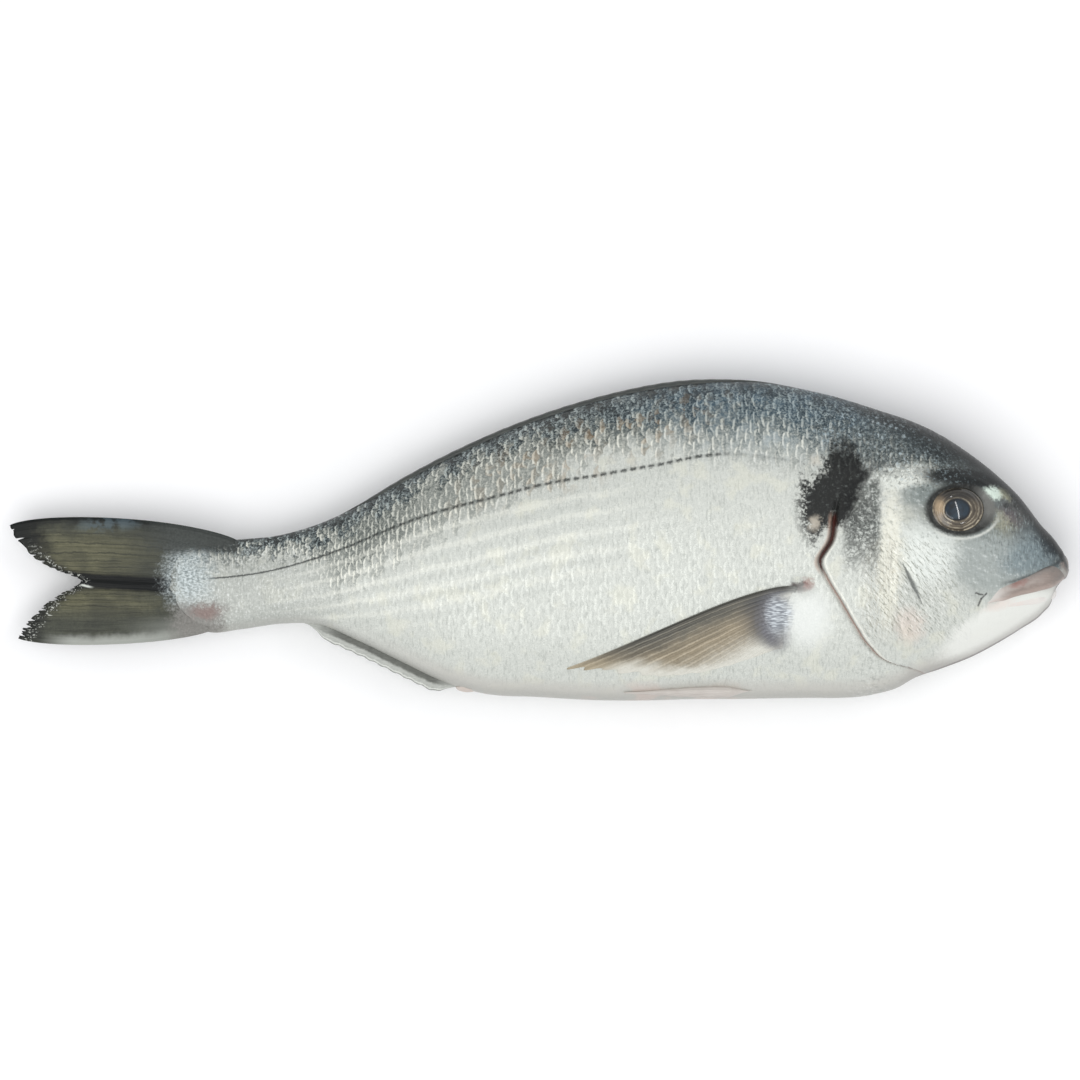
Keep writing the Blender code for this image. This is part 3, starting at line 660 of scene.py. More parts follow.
def tail_root(s, colour, x, y, middling, fine):
    """Where the scales end raggedly over the tail fin. Skin and fin are painted alike, so that no seam shows."""
    line = x + (middling - 0.5) * 8.0 + (fine - 0.5) * 7.0
    height = y + (middling - 0.5) * 3.0 + (fine - 0.5) * 3.5
    silver = (fine * 0.7 + s.noise(s.join(x * 0.9, y * 2.2), 1.0, 2.0) * 0.6).ramp(0.46, 0.80)
    patch = s.spot(line, height, (-98.6, -10.8), (5.8, 7.8), 8, 0.75)
    colour = s.blend(patch * (0.60 + 0.36 * silver), colour, s.blend(silver, paint(108, 122, 126), paint(204, 213, 213)))
    lower = height.ramp(-16.0, -20.0) * line.ramp(-86.0, -92.0) * line.ramp(-106.0, -100.0)
    colour = s.blend(lower * 0.85, colour, s.blend(fine, paint(84, 80, 76), paint(152, 150, 145)))
    red = s.spot(x + (fine - 0.5) * 4.0, height, (-94.0, -20.4), (4.0, 1.8), 0, 0.6)
    colour = s.blend(red * 0.45, colour, paint(124, 84, 76))
    upper = height.ramp(-4.8, -2.0) * line.ramp(-82.0, -87.0) * line.ramp(-116.0, -102.0)
    return s.blend(upper * 0.92, colour, s.blend(fine, paint(34, 38, 37), paint(78, 82, 79)))


def fin_base(s, colour, x, y, middling, fine):
    """The soft pad at the root of the breast fin. Skin and fin are painted alike, so that no seam shows."""
    place = x + (middling - 0.5) * 3.0 + (fine - 0.5) * 2.0
    height = y + (middling - 0.5) * 2.0
    # Painted shade in a crescent along the left side of the pad.
    crescent = s.spot(place, height, (67.2, -23.0), (5.6, 7.8), 0, 0.35) * place.ramp(73.0, 69.0)
    colour = s.blend(crescent * 0.80, colour, s.blend(fine, paint(66, 67, 73), paint(132, 132, 138)))
    white = s.spot(place, height, (75.4, -22.0), (6.4, 7.6), 0, 0.6)
    colour = s.blend(white * 0.90, colour, s.blend(fine, paint(208, 212, 208), paint(234, 236, 231)))
    streaks = s.noise(s.join(x * 0.45, y * 2.6), 1.0, 1.0).ramp(0.42, 0.62)
    pad = s.spot(place, height, (67.4, -21.2), (3.5, 4.8), 0, 0.5)
    return s.blend(pad * 0.88, colour, s.blend(streaks, paint(132, 137, 144), paint(212, 219, 223)))


def skin_finish():
    """Wet silver skin: slate back with bright scale edges, pale stripes, dark blotch and painted face."""
    s = Finish("silver skin")
    place = s.place()
    x, y, z = s.split(place)
    along, rows, scaly = s.attribute("scale_place")
    over_lip, _, _ = s.attribute("lip_distance")
    gill, cheek, groove = s.attribute("face_lines")
    below_back, above_belly, share = s.attribute("edge_distance")

    coarse = s.noise(place, 0.16, 3.0)
    middling = s.noise(place, 0.55, 3.0, 0.6)
    fine = s.noise(place, 1.5, 3.0, 0.7)
    grain = s.noise(place, 3.4, 2.0, 0.7)
    curls = s.noise(place, 0.75, 1.0, 0.4).near(0.5, 0.045)
    streaks = s.noise(s.join(x * 2.6, y * 0.6, z * 0.6), 1.0, 2.0, 0.6)
    ragged = s.noise(place, 1.1, 2.0, 0.6)
    # Painted light and shade of small knobs, pebbles and wrinkles on the head, from embossed noise.
    lump_shading = s.emboss(place, 0.62, (0.42, 0.50, 0.0))
    pebble_shading = s.emboss(place, 1.5, (0.18, 0.22, 0.0))
    crease_shading = s.emboss(s.join((x + y) * 1.5, (x - y) * 0.5, z), 0.5, (0.4, 0.1, 0.0))
    cell = s.cells(s.join(x + (middling - 0.5) * 3.4 + (fine - 0.5) * 1.0, y + (ragged - 0.5) * 3.0, z * 0.3), 0.60)
    from_edge, off, (dice_1, dice_2, dice_3) = scale_pattern(
        s, along + (ragged - 0.5) * (0.22 + 0.4 * below_back.ramp(11.0, 4.0)), rows + (fine - 0.5) * 0.35
    )

    # Shade from the back down, uneven from scale to scale. Behind the middle it has a broad grey shelf.
    dark_depth = 24.5 - 14.5 * x.ramp(-15.0, -68.0) - 4.5 * x.near(15.0, 34.0)
    unevenness = (coarse - 0.5) * 8.0 + (middling - 0.5) * 7.0 + (fine - 0.5) * 9.0 + (dice_2 - 0.5) * 6.0 * scaly
    from_back = below_back + unevenness
    shelf_tone = 0.58 - 0.10 * x.ramp(-30.0, -44.0)
    shelf = from_back.ramp(-2.0, 8.0) * shelf_tone + from_back.ramp(12.0, 28.0) * (1 - shelf_tone)
    depth = (from_back / dark_depth).hold().or_else(shelf, x.ramp(22.0, -10.0) * x.ramp(-72.0, -50.0))
    deep = s.shades(depth, BACK_DEEP)
    bright = s.shades(depth, BACK_BRIGHT)

    crescent = from_edge.ramp(0.0, 0.05) * from_edge.ramp(0.32, 0.12) * off.ramp(0.95, 0.45)
    crescent = crescent * (0.45 + 1.1 * dice_1) * (0.30 + 1.5 * streaks) * (1 - 0.90 * depth.ramp(0.6, 1.0))
    crescent = crescent * (0.45 + 0.9 * middling.ramp(0.35, 0.62))
    speckle = ((fine - 0.46) * 1.7 + (grain - 0.5) * 1.1) * (1 + 0.45 * depth.ramp(0.75, 0.35))
    light = crescent * 0.85 * scaly + speckle * (0.75 + 0.5 * depth.ramp(0.45, 0.2)) + curls * 0.25 * depth.ramp(1.0, 0.4)
    light = light.hold()
    skin = s.blend(light, deep, bright)
    # Painted shadow cast by each scale's free edge on the scale beneath it.
    behind_edge = from_edge.ramp(0.60, 1.0) * scaly
    skin = s.blend(behind_edge * 0.25, skin, deep)

    # Tints on the back
    tints = s.noise(place, 0.33, 2.0)
    blue = s.spot(x, y, (66.0, 33.0), (36.0, 10.0), -4, 0.6) * (0.35 + 0.65 * dice_2 * tints.ramp(0.38, 0.58))
    skin = s.blend(blue * 0.34, skin, paint(84, 122, 146))
    gold = s.spot(x, y, (14.0, 25.0), (36.0, 8.0), 20, 0.6) * dice_1.ramp(0.5, 0.9) * tints.ramp(0.62, 0.45)
    skin = s.blend(gold * 0.40, skin, paint(158, 132, 98))
    hairs = s.noise(s.join(x * 1.9, y * 0.42, z * 0.42), 1.0, 3.0, 0.65)
    skin = s.blend(hairs.ramp(0.50, 0.32) * depth.ramp(0.5, 0.9) * 0.50, skin, paint(158, 162, 156))
    skin = s.blend(grain.ramp(0.48, 0.30) * depth.ramp(0.5, 0.9) * 0.35, skin, paint(150, 154, 148))
    skin = s.blend(coarse.ramp(0.52, 0.66) * depth.ramp(0.8, 1.0) * 0.25, skin, paint(224, 222, 200))

    # Pale stripes below the side line
    wave = (rows * (2 * math.pi * SCALE_ROW / STRIPE_SPACING) + (middling - 0.5) * 2.0).maths("COSINE")
    striped = rows.ramp(-0.4, -1.4) * rows.ramp(-13.0, -8.0) * x.ramp(52.0, 5.0) * x.ramp(-92.0, -62.0)
    striped = striped * (0.35 + 1.0 * coarse) * (0.45 + 1.1 * fine)
    skin = s.blend((wave * striped).ramp(0.1, 0.9) * 0.24, skin, paint(240, 240, 228))
    skin = s.blend((wave * striped).ramp(-0.1, -0.9) * 0.15, skin, paint(160, 164, 158))
    rear_shade = x.ramp(-52.0, -78.0) * y.ramp(-2.0, -8.0) * (0.6 + 0.8 * middling)
    skin = s.blend(rear_shade * 0.60, skin, paint(158, 161, 155))
    rear = x.ramp(-48.0, -76.0) * y.ramp(1.0, -4.0)
    skin = s.blend(rear * (fine * 0.7 + streaks * 0.5).ramp(0.60, 0.42) * 0.45, skin, paint(138, 142, 137))
    skin = s.blend(rear * (fine * 0.7 + streaks * 0.5).ramp(0.62, 0.80) * 0.50, skin, paint(232, 235, 232))

    # The side line
    dash = (along.maths("FRACT") - 0.5).maths("ABSOLUTE").ramp(0.46, 0.20)
    dash = (dash + x.ramp(-48.0, -70.0)).hold()
    on_line = ((rows + (fine - 0.5) * 0.45) / (0.5 + fine)).near(0.0, 0.29) * (dash * 0.8 + 0.2) * x.ramp(-98.0, -92.0)
    skin = s.blend(on_line * (0.88 - 0.6 * x.ramp(49.0, 55.0)) * x.ramp(76.0, 68.0), skin, paint(34, 38, 37))

    # Belly: painted shade along its lower edge, darkest at the very edge, and a pink tint
    belly = (above_belly + (middling - 0.5) * 1.6).ramp(6.5, 2.5) * x.ramp(-60.0, -20.0)
    skin = s.blend(belly * 0.8, skin, paint(186, 184, 177))
    skin = s.blend((above_belly + (middling - 0.5)).ramp(3.2, 0.6) * 0.6, skin, paint(160, 160, 154))
    pink = s.noise(place, 0.10, 2.0).ramp(0.50, 0.64) * belly * x.ramp(8.0, 18.0) * x.ramp(66.0, 54.0)
    skin = s.blend(pink * 0.4, skin, paint(204, 182, 172))

    # Face
    warp_x = x + (middling - 0.5) * 5.0 + (fine - 0.5) * 2.4
    warp_y = y + (coarse - 0.5) * 3.0 + (fine - 0.5) * 2.0
    for _, centre, radii, turn, soft, colour, strength in FACE_PATCHES:
        skin = s.blend(s.spot(warp_x, warp_y, centre, radii, turn, soft) * strength, skin, paint(*colour))
    on_jaw = s.spot(x, y, (133.0, -25.0), (27.0, 9.6), 27, 0.25)
    calm = (on_jaw + 0.75 * x.ramp(92.0, 100.0) * y.ramp(-14.0, -24.0)).hold()
    rough_face = x.ramp(84.0, 94.0) * (1 - 0.96 * calm)
    dark_part = s.spot(x, y, (131.0, 15.0), (36.0, 13.0), -42, 0.4)
    # Painted highlight on the lit sides of the face's small knobs and painted shade on their other sides.
    lump = lump_shading + pebble_shading * (0.45 - 0.3 * dark_part)
    raised = s.blend(dark_part, paint(236, 240, 236), paint(104, 115, 118))
    skin = s.blend(rough_face * lump.ramp(0.04, 0.34) * (0.36 - 0.12 * dark_part), skin, raised)
    lump_shade_colour = s.blend(dark_part, paint(128, 133, 128), paint(28, 34, 35))
    skin = s.blend(rough_face * lump.ramp(-0.02, -0.30) * 0.50, skin, lump_shade_colour)
    snout = s.spot(x, y, (134.5, 0.5), (15.0, 10.0), -45, 0.3)
    hair = s.noise(s.join(x * 1.7, y * 0.5), 1.0, 3.0, 0.65)
    skin = s.blend(snout * hair.ramp(0.52, 0.66) * 0.35, skin, paint(176, 188, 188))
    skin = s.blend(snout * hair.ramp(0.48, 0.34) * 0.40, skin, paint(62, 70, 74))
    forehead = (below_back + (fine - 0.5) * 3.0 + (middling - 0.5) * 2.0).ramp(4.8, 1.4) * x.ramp(74.0, 106.0)
    skin = s.blend(forehead * 0.92, skin, paint(17, 21, 21))
    # Painted shade under the jaw, and a thin dark line of painted shade along its lower edge.
    under_jaw_shade = (above_belly + (middling - 0.5)).ramp(3.6, 0.4) * x.ramp(96.0, 106.0)
    skin = s.blend(under_jaw_shade * 0.65, skin, paint(164, 161, 155))
    skin = s.blend((above_belly + (fine - 0.5) * 0.4).ramp(0.9, 0.2) * x.ramp(104.0, 112.0) * 0.8, skin, paint(96, 90, 85))
    on_cheek = x.ramp(88.0, 94.0) * x.ramp(124.0, 112.0) * (y + x * 0.2).ramp(24.0, 18.0) * y.ramp(-31.0, -24.0)
    # Painted shade and painted highlight on the two sides of the cheek's wrinkles.
    skin = s.blend(on_cheek * crease_shading.ramp(-0.01, -0.15) * 0.75, skin, paint(128, 130, 118))
    skin = s.blend(on_cheek * crease_shading.ramp(0.03, 0.20) * 0.60, skin, paint(244, 245, 238))
    cheek_streaks = s.noise(s.join(x * 3.0, y * 0.4), 1.0, 2.0).ramp(0.55, 0.38)
    skin = s.blend(on_cheek * x.ramp(104.0, 99.0) * cheek_streaks * 0.30, skin, paint(168, 160, 142))

    # Small cells with dark outlines on the nape and on the rear of the gill cover
    on_nape = s.spot(x, y, (93.0, 27.5), (16.0, 8.5), -22, 0.4)
    outlines = cell.ramp(0.20, 0.04)
    mottled = s.spot(x, y, (95.0, 27.5), (26.0, 9.0), -28, 0.4)
    # Light and dark mottling, partly painted light and shade of small knobs; the pale cell middles show on their lit
    # sides.
    skin = s.blend(mottled * (fine + lump_shading * 0.5).ramp(0.53, 0.70) * 0.55, skin, paint(148, 164, 169))
    skin = s.blend(mottled * (fine + lump_shading * 0.5).ramp(0.47, 0.32) * 0.60, skin, paint(34, 41, 44))
    skin = s.blend(on_nape * outlines * 0.55, skin, paint(40, 48, 50))
    skin = s.blend(on_nape * cell.near(0.36, 0.16) * (lump_shading.ramp(-0.1, 0.2)) * 0.80, skin, paint(176, 192, 198))
    cover_x = x + (ragged - 0.5) * 3.0
    cover = cover_x.ramp(84.0, 87.5) * cover_x.ramp(97.0, 94.6) * (y + (middling - 0.5) * 8.0).ramp(-12.5, -5.0)
    cover = cover * (y + (ragged - 0.5) * 3.0).ramp(19.5, 15.0)
    # Inside the cells, painted light and shade on the sides of small knobs.
    inner = s.blend((lump_shading + pebble_shading * 0.4).ramp(-0.15, 0.2), paint(98, 103, 99), paint(186, 190, 184))
    cell_colour = s.blend(cell.ramp(0.24, 0.03) * (0.25 + 1.0 * ragged), inner, paint(46, 49, 47))
    faint = y.ramp(3.0, -9.0) * (0.30 + 0.8 * middling)
    skin = s.blend(cover * (0.92 - faint * (1.1 - outlines * 0.6)).hold(), skin, cell_colour)

    # Dark ring and pale lid round the eye
    socket = s.oval(x + (fine - 0.5) * 1.2, y + (fine - 0.5) * 0.8, (118.6, 8.4), (9.7, 7.2), -2)
    ring = socket.ramp(1.12, 0.94)
    ring_shade = x.ramp(121.0, 127.0) * y.ramp(2.0, 9.0) + middling.ramp(0.45, 0.7) * 0.25
    skin = s.blend(ring * 0.95, skin, s.blend(ring_shade.hold(), paint(28, 29, 27), paint(110, 110, 106)))
    lid = socket.near(1.13, 0.08) * (x - y).ramp(104.0, 113.0) * y.ramp(8.0, 3.0) * (0.3 + 1.2 * middling)
    skin = s.blend((lid * 0.75).hold(), skin, paint(214, 216, 208))

    # Blotch behind the head, broken up by the scales
    frayed = 0.8 + 1.4 * x.ramp(84.0, 76.0)
    blotch = (dice_1 - 0.5) * 0.35 + (fine - 0.5) * 1.1 * frayed + (ragged - 0.5) * frayed + lump_shading * 0.8
    for centre, radii, turn, strength in BLOTCH:
        blotch = blotch + s.spot(warp_x, warp_y, centre, radii, turn, 0.5) * strength
    blotch = blotch.ramp(0.22, 1.25) * s.spot(x, y, (85.0, 12.0), (13.0, 21.0), 4, 0.2)
    # The paler marks in the blotch are partly painted light on the lit sides of small knobs.
    marks = cell.ramp(0.12, 0.42) * (lump_shading + pebble_shading * 0.5).ramp(-0.12, 0.25) * 0.75
    marks = (marks + fine.ramp(0.56, 0.72) * 0.35 + crescent * 0.15).hold()
    skin = s.blend(blotch * 0.98, skin, s.blend(marks, paint(10, 12, 12), paint(86, 91, 88)))
    cream = s.spot(warp_x, warp_y, (77.4, 4.6), (1.4, 1.8), 0, 0.8) * 0.70
    cream = cream + s.spot(warp_x, warp_y, (77.6, 22.4), (1.5, 1.5), 0, 0.8) * 0.45
    skin = s.blend(cream.hold(), skin, s.blend(fine, paint(178, 166, 148), paint(222, 216, 202)))

    # Gill opening: a dark red slit above, a thin line below
    open_part = y.ramp(-11.0, -7.5) * y.ramp(8.5, 5.5)
    pale_border = (gill + (fine - 0.5) * 0.6).near(-1.7, 1.0) * open_part
    skin = s.blend(pale_border * 0.60, skin, paint(172, 146, 130))
    slit = ((gill + 0.6 + (fine - 0.5) * 0.6) / (0.7 + 0.8 * y.ramp(-8.0, -2.0) * y.ramp(8.0, 2.0))).near(0.0, 1.1) * open_part
    skin = s.blend(slit, skin, s.blend(middling, paint(24, 10, 8), paint(92, 44, 34)))
    line = (gill + (fine - 0.5) * 0.7).near(-0.4, 0.75) * y.ramp(-7.5, -11.0) * y.ramp(-39.0, -36.0)
    skin = s.blend(line * 0.75, skin, paint(142, 104, 90))
    edge_light = gill.near(0.75, 0.6) * y.ramp(2.0, -4.0) * y.ramp(-37.0, -33.0)
    skin = s.blend(edge_light * 0.45, skin, paint(240, 238, 226))

    # Cheek lines
    cheek_line = (cheek + (fine - 0.5) * 0.8).near(0.0, 0.55) * y.ramp(-30.0, -24.0) * y.ramp(0.0, -4.0)
    skin = s.blend(cheek_line * 0.40, skin, paint(132, 132, 124))
    groove_width = 0.85 * y.ramp(-5.5, -11.5) * y.ramp(-19.0, -13.0) + 0.10
    cheek_groove = ((groove + (fine - 0.5) * 0.5) / groove_width).ramp(1.0, 0.2) * y.ramp(-4.5, -6.5)
    skin = s.blend(cheek_groove * 0.80, skin, paint(70, 74, 72))

    # Red hollow above the breast fin and the nostril
    pit = s.spot(warp_x, warp_y, (73.4, -13.3), (2.9, 1.5), 8, 0.45)
    skin = s.blend(pit * 0.92, skin, paint(48, 24, 22))
    red_rim = s.spot(warp_x, warp_y, (75.6, -12.4), (1.7, 1.7), 0, 0.5)
    skin = s.blend(red_rim * 0.55, skin, paint(150, 92, 80))
    nostril = s.spot(x, y, NOSTRIL, (0.9, 0.7), 0, 0.4)
    skin = s.blend(nostril * 0.6, skin, paint(44, 47, 46))
    # Painted shade in the fold of skin along the top of the upper lip.
    lip_crease_shade = (over_lip + (fine - 0.5) * 0.4).near(-0.5, 1.0) * x.ramp(128.0, 134.0)
    skin = s.blend(lip_crease_shade * 0.70, skin, paint(58, 62, 63))
    # Painted shade in the small fold at the corner of the mouth.
    for ends in MOUTH_FOLD:
        mouth_fold_shade = s.line(x + (middling - 0.5) * 0.8, y + (middling - 0.5) * 0.6, ends).ramp(0.42, 0.08)
        skin = s.blend(mouth_fold_shade * (0.3 + 0.9 * fine), skin, paint(50, 50, 48))
    skin = fin_base(s, skin, x, y, middling, fine)
    skin = tail_root(s, skin, x, y, middling, fine)

    glitter = (from_edge.ramp(0.05, 0.2) * from_edge.ramp(0.5, 0.25) * scaly * (0.4 + dice_3)).hold()
    rough = 0.46 - 0.12 * glitter + (fine - 0.5) * 0.2 + blotch * 0.15
    metal = (0.04 + 0.16 * glitter) * (1 - blotch * 0.8) * depth.ramp(0.0, 0.5)
    relief = (1 - from_edge) * scaly * (0.45 - 0.30 * depth.ramp(0.5, 1.0)) + fine * 0.7 + grain * 0.4 + streaks * 0.25 - curls * 0.2
    beyond = (x + (middling - 0.5) * 8.0 + (fine - 0.5) * 7.0).ramp(-101.0, -107.0)
    skin = s.blend(beyond, skin, s.blend(fine, paint(62, 64, 58), paint(104, 105, 96)))
    coat = 0.12 - 0.11 * blotch
    return s.surface(skin, rough, metal, coat, coat_rough=0.25, specular=0.28, normal=s.bumps(relief, 0.10, 0.8))


def upper_lip_finish():
    """Grey-pink lip: pale at the corner of the mouth, red in its middle and grey-brown at the tip, with painted shade
    along its upper side and a painted highlight along its middle.
    """
    s = Finish("upper lip")
    place = s.place()
    x, y, z = s.split(place)
    mottle = s.noise(place, 0.45, 3.0, 0.6)
    wrinkles = s.noise(s.join(x * 0.5, y * 2.6, z * 0.6), 1.0, 2.0)
    tone = (mottle * 0.6 + wrinkles * 0.6 - 0.1).hold()
    colour = s.blend(tone, paint(118, 107, 101), paint(166, 152, 143))
    pale = (x + (mottle - 0.5) * 5.0).ramp(134.0, 128.0)
    colour = s.blend(pale * 0.85, colour, paint(204, 200, 194))
    tip = (x + (mottle - 0.5) * 5.0).ramp(143.0, 147.5)
    colour = s.blend(tip * 0.8, colour, paint(108, 102, 96))
    _, over, _ = s.attribute("lip_place")
    # Painted shade on the lip's upper side, darkest along its top.
    upper_edge_shade = (over + (mottle - 0.5) * 0.8).ramp(0.15, 0.75)
    colour = s.blend(upper_edge_shade * 0.55, colour, paint(112, 111, 108))
    colour = s.blend((over + (wrinkles - 0.5) * 0.2).ramp(0.62, 0.85) * x.ramp(131.0, 136.0) * 0.8, colour, paint(58, 58, 57))
    # A painted highlight along the middle of the lip.
    lip_highlight = (over + (mottle - 0.5) * 0.5).near(-0.05, 0.35) * x.ramp(146.0, 138.0)
    colour = s.blend(lip_highlight * 0.22, colour, paint(198, 190, 184))
    lower_edge = (over + (mottle - 0.5) * 0.4).ramp(-0.45, -0.8)
    colour = s.blend(lower_edge * 0.35, colour, paint(190, 168, 158))
    red = s.spot(x + (mottle - 0.5) * 4.0, y + (wrinkles - 0.5) * 2.0, (135.0, -12.4), (2.4, 0.9), 18, 0.6)
    colour = s.blend(red * 0.5, colour, paint(138, 84, 75))
    return s.surface(colour, 0.40, coat=0.2, coat_rough=0.2, specular=0.4, normal=s.bumps(wrinkles + mottle * 0.5, 0.15))


def lower_lip_finish():
    """Smooth white lip, a little pink near the corner of the mouth."""
    s = Finish("lower lip")
    place = s.place()
    x, _, _ = s.split(place)
    mottle = s.noise(place, 0.5, 3.0, 0.6)
    colour = s.blend(mottle, paint(212, 206, 200), paint(230, 228, 223))
    colour = s.blend(x.ramp(142.0, 130.0) * mottle.ramp(0.35, 0.6) * 0.5, colour, paint(220, 196, 184))
    return s.surface(colour, 0.40, coat=0.2, coat_rough=0.2, specular=0.4, normal=s.bumps(mottle, 0.12))


def eye_finish():
    """Dark blue pupil in a gold-brown iris with pale rings, under a clear wet skin."""
    s = Finish("eye")
    out, turn, _ = s.attribute("eye_place")
    place = s.place()
    x, y, _ = s.split(place)
    veins = s.noise(s.join(turn * 5.0, out * 3.0), 1.4, 3.0, 0.6)
    cloud = s.noise(place, 0.4, 2.0)
    uneven = out + (veins - 0.5) * 0.08 + (cloud - 0.5) * 0.12
    iris = s.blend((veins * 0.8 + cloud * 0.8 - 0.3).hold(), paint(48, 42, 35), paint(112, 101, 84))
    for radius, width, strength in ((0.53, 0.035, 0.55), (0.68, 0.03, 0.5), (0.80, 0.05, 0.35), (0.93, 0.035, 0.6)):
        broken = (0.25 + 1.1 * cloud.ramp(0.40, 0.62)) * (0.4 + veins)
        iris = s.blend((uneven.near(radius, width) * broken * strength).hold(), iris, paint(206, 196, 172))
    iris = s.blend(uneven.near(0.61, 0.05) * 0.45, iris, paint(48, 42, 35))
    iris = s.blend(uneven.near(0.865, 0.05) * 0.50, iris, paint(46, 41, 36))
    gold = s.spot(x + (veins - 0.5) * 1.5, y, (112.6, 9.8), (1.3, 3.8), 0, 0.6) * (0.4 + cloud)
    iris = s.blend((gold * 0.70).hold(), iris, paint(188, 164, 132))
    lid_shade = (y + (veins - 0.5) * 1.4).ramp(9.8, 12.6)
    iris = s.blend(lid_shade * 0.85, iris, paint(28, 27, 25))
    iris = s.blend(out.ramp(0.96, 1.0), iris, paint(34, 35, 33))
    pupil = s.blend(cloud.ramp(0.3, 0.7), paint(5, 14, 21), paint(26, 46, 60))
    pupil = s.blend(out.ramp(0.36, 0.47) * 0.8, pupil, paint(6, 10, 14))
    colour = s.blend(out.ramp(0.465, 0.49), pupil, iris)
    return s.surface(colour, 0.30, coat=0.9, coat_rough=0.03, specular=0.2)


def tail_finish():
    """Olive grey tail fin with thin dark rays, near-black edges and black painted shadow in the fold between its lobes.
    """
    s = Finish("tail fin")
    place = s.place()
    x, y, _ = s.split(place)
    across, along, rim = s.attribute("fin_place")
    mottle = s.noise(place, 0.3, 3.0, 0.6)
    fine = s.noise(place, 1.6, 3.0, 0.65)
    fibres = s.noise(s.join(across * 90.0, along * 4.0), 1.0, 3.0, 0.6)
    rays = (across * TAIL_RAYS + (mottle - 0.5) * 0.7).maths("FRACT") - 0.5
    ray = rays.maths("ABSOLUTE").ramp(0.12, 0.01)
    olive = s.blend((fibres * 1.3 + fine * 0.5 - 0.4).hold(), paint(60, 60, 46), paint(120, 118, 93))
    grey = s.blend((fibres * 1.0 + fine * 0.8 - 0.4).hold(), paint(40, 43, 38), paint(84, 86, 74))
    in_middle = (across + (mottle - 0.5) * 0.10).maths("ABSOLUTE").ramp(0.01, 0.17) * across.ramp(0.88, 0.68)
    in_middle = in_middle * (along + (mottle - 0.5) * 0.5).ramp(0.0, 0.45)
    colour = s.blend(in_middle, grey, olive)
    colour = s.blend(ray * (0.20 + 0.40 * in_middle), colour, paint(40, 41, 34))
    cloudy = s.noise(place, 0.13, 2.0)
    colour = s.blend(cloudy.ramp(0.62, 0.38) * 0.45, colour, paint(46, 48, 44))
    near_root = along.ramp(0.75, 0.1) * across.ramp(0.75, 0.5)
    colour = s.blend(near_root * (0.3 + 0.6 * mottle), colour, paint(56, 59, 55))
    edge = (across + (mottle - 0.5) * 0.06).ramp(0.06, 0.0)
    colour = s.blend(edge * 0.90, colour, paint(18, 21, 22))
    upper_tip = ((across + (mottle - 0.5) * 0.1).ramp(0.30, 0.10) * (along + (mottle - 0.5) * 0.2).ramp(0.80, 0.93)).hold()
    colour = s.blend(upper_tip * 0.92, colour, paint(14, 16, 15))
    blue = s.spot(x, y, (-121.0, 4.4), (9.0, 2.0), 4, 0.6) * mottle.ramp(0.4, 0.6)
    colour = s.blend(blue * 0.5, colour, paint(88, 104, 112))
    # Painted shadow deep in the fold where the two lobes overlap.
    fold = (across + (mottle - 0.5) * 0.03 + 0.03 * along).near(0.505, 0.13) * along.ramp(-0.05, 0.2)
    colour = s.blend((fold * 1.9).hold() * 0.97, colour, paint(7, 10, 12))
    tips = (along + (fibres - 0.5) * 0.16 + (mottle - 0.5) * 0.16).ramp(0.86, 0.98)
    colour = s.blend(tips * 0.80, colour, paint(24, 27, 26))
    nicks = (along + (fibres - 0.5) * 0.30).near(0.945, 0.030) * fine.ramp(0.52, 0.60) * across.ramp(0.10, 0.26)
    colour = s.blend(nicks * 0.85, colour, paint(214, 216, 208))
    cut = (across + (along - 0.9) * 0.12).near(0.545, 0.012) * along.ramp(0.80, 0.88) * along.ramp(0.99, 0.96)
    colour = s.blend(cut * 0.9, colour, paint(216, 220, 212))
    pale = (across + (mottle - 0.5) * 0.05).ramp(0.92, 0.985) * along.ramp(0.92, 0.7)
    colour = s.blend(pale * 0.75, colour, paint(176, 179, 172))
    colour = s.blend(across.ramp(0.80, 0.93) * along.ramp(0.5, 0.1) * 0.6, colour, paint(132, 135, 128))
    colour = tail_root(s, colour, x, y, s.noise(place, 0.55, 3.0, 0.6), s.noise(place, 1.5, 3.0, 0.7))
    relief = fibres * 0.5 - ray * 0.5 + fine * 0.3
    return s.surface(colour, 0.50, coat=0.06, coat_rough=0.25, specular=0.15, normal=s.bumps(relief, 0.08))


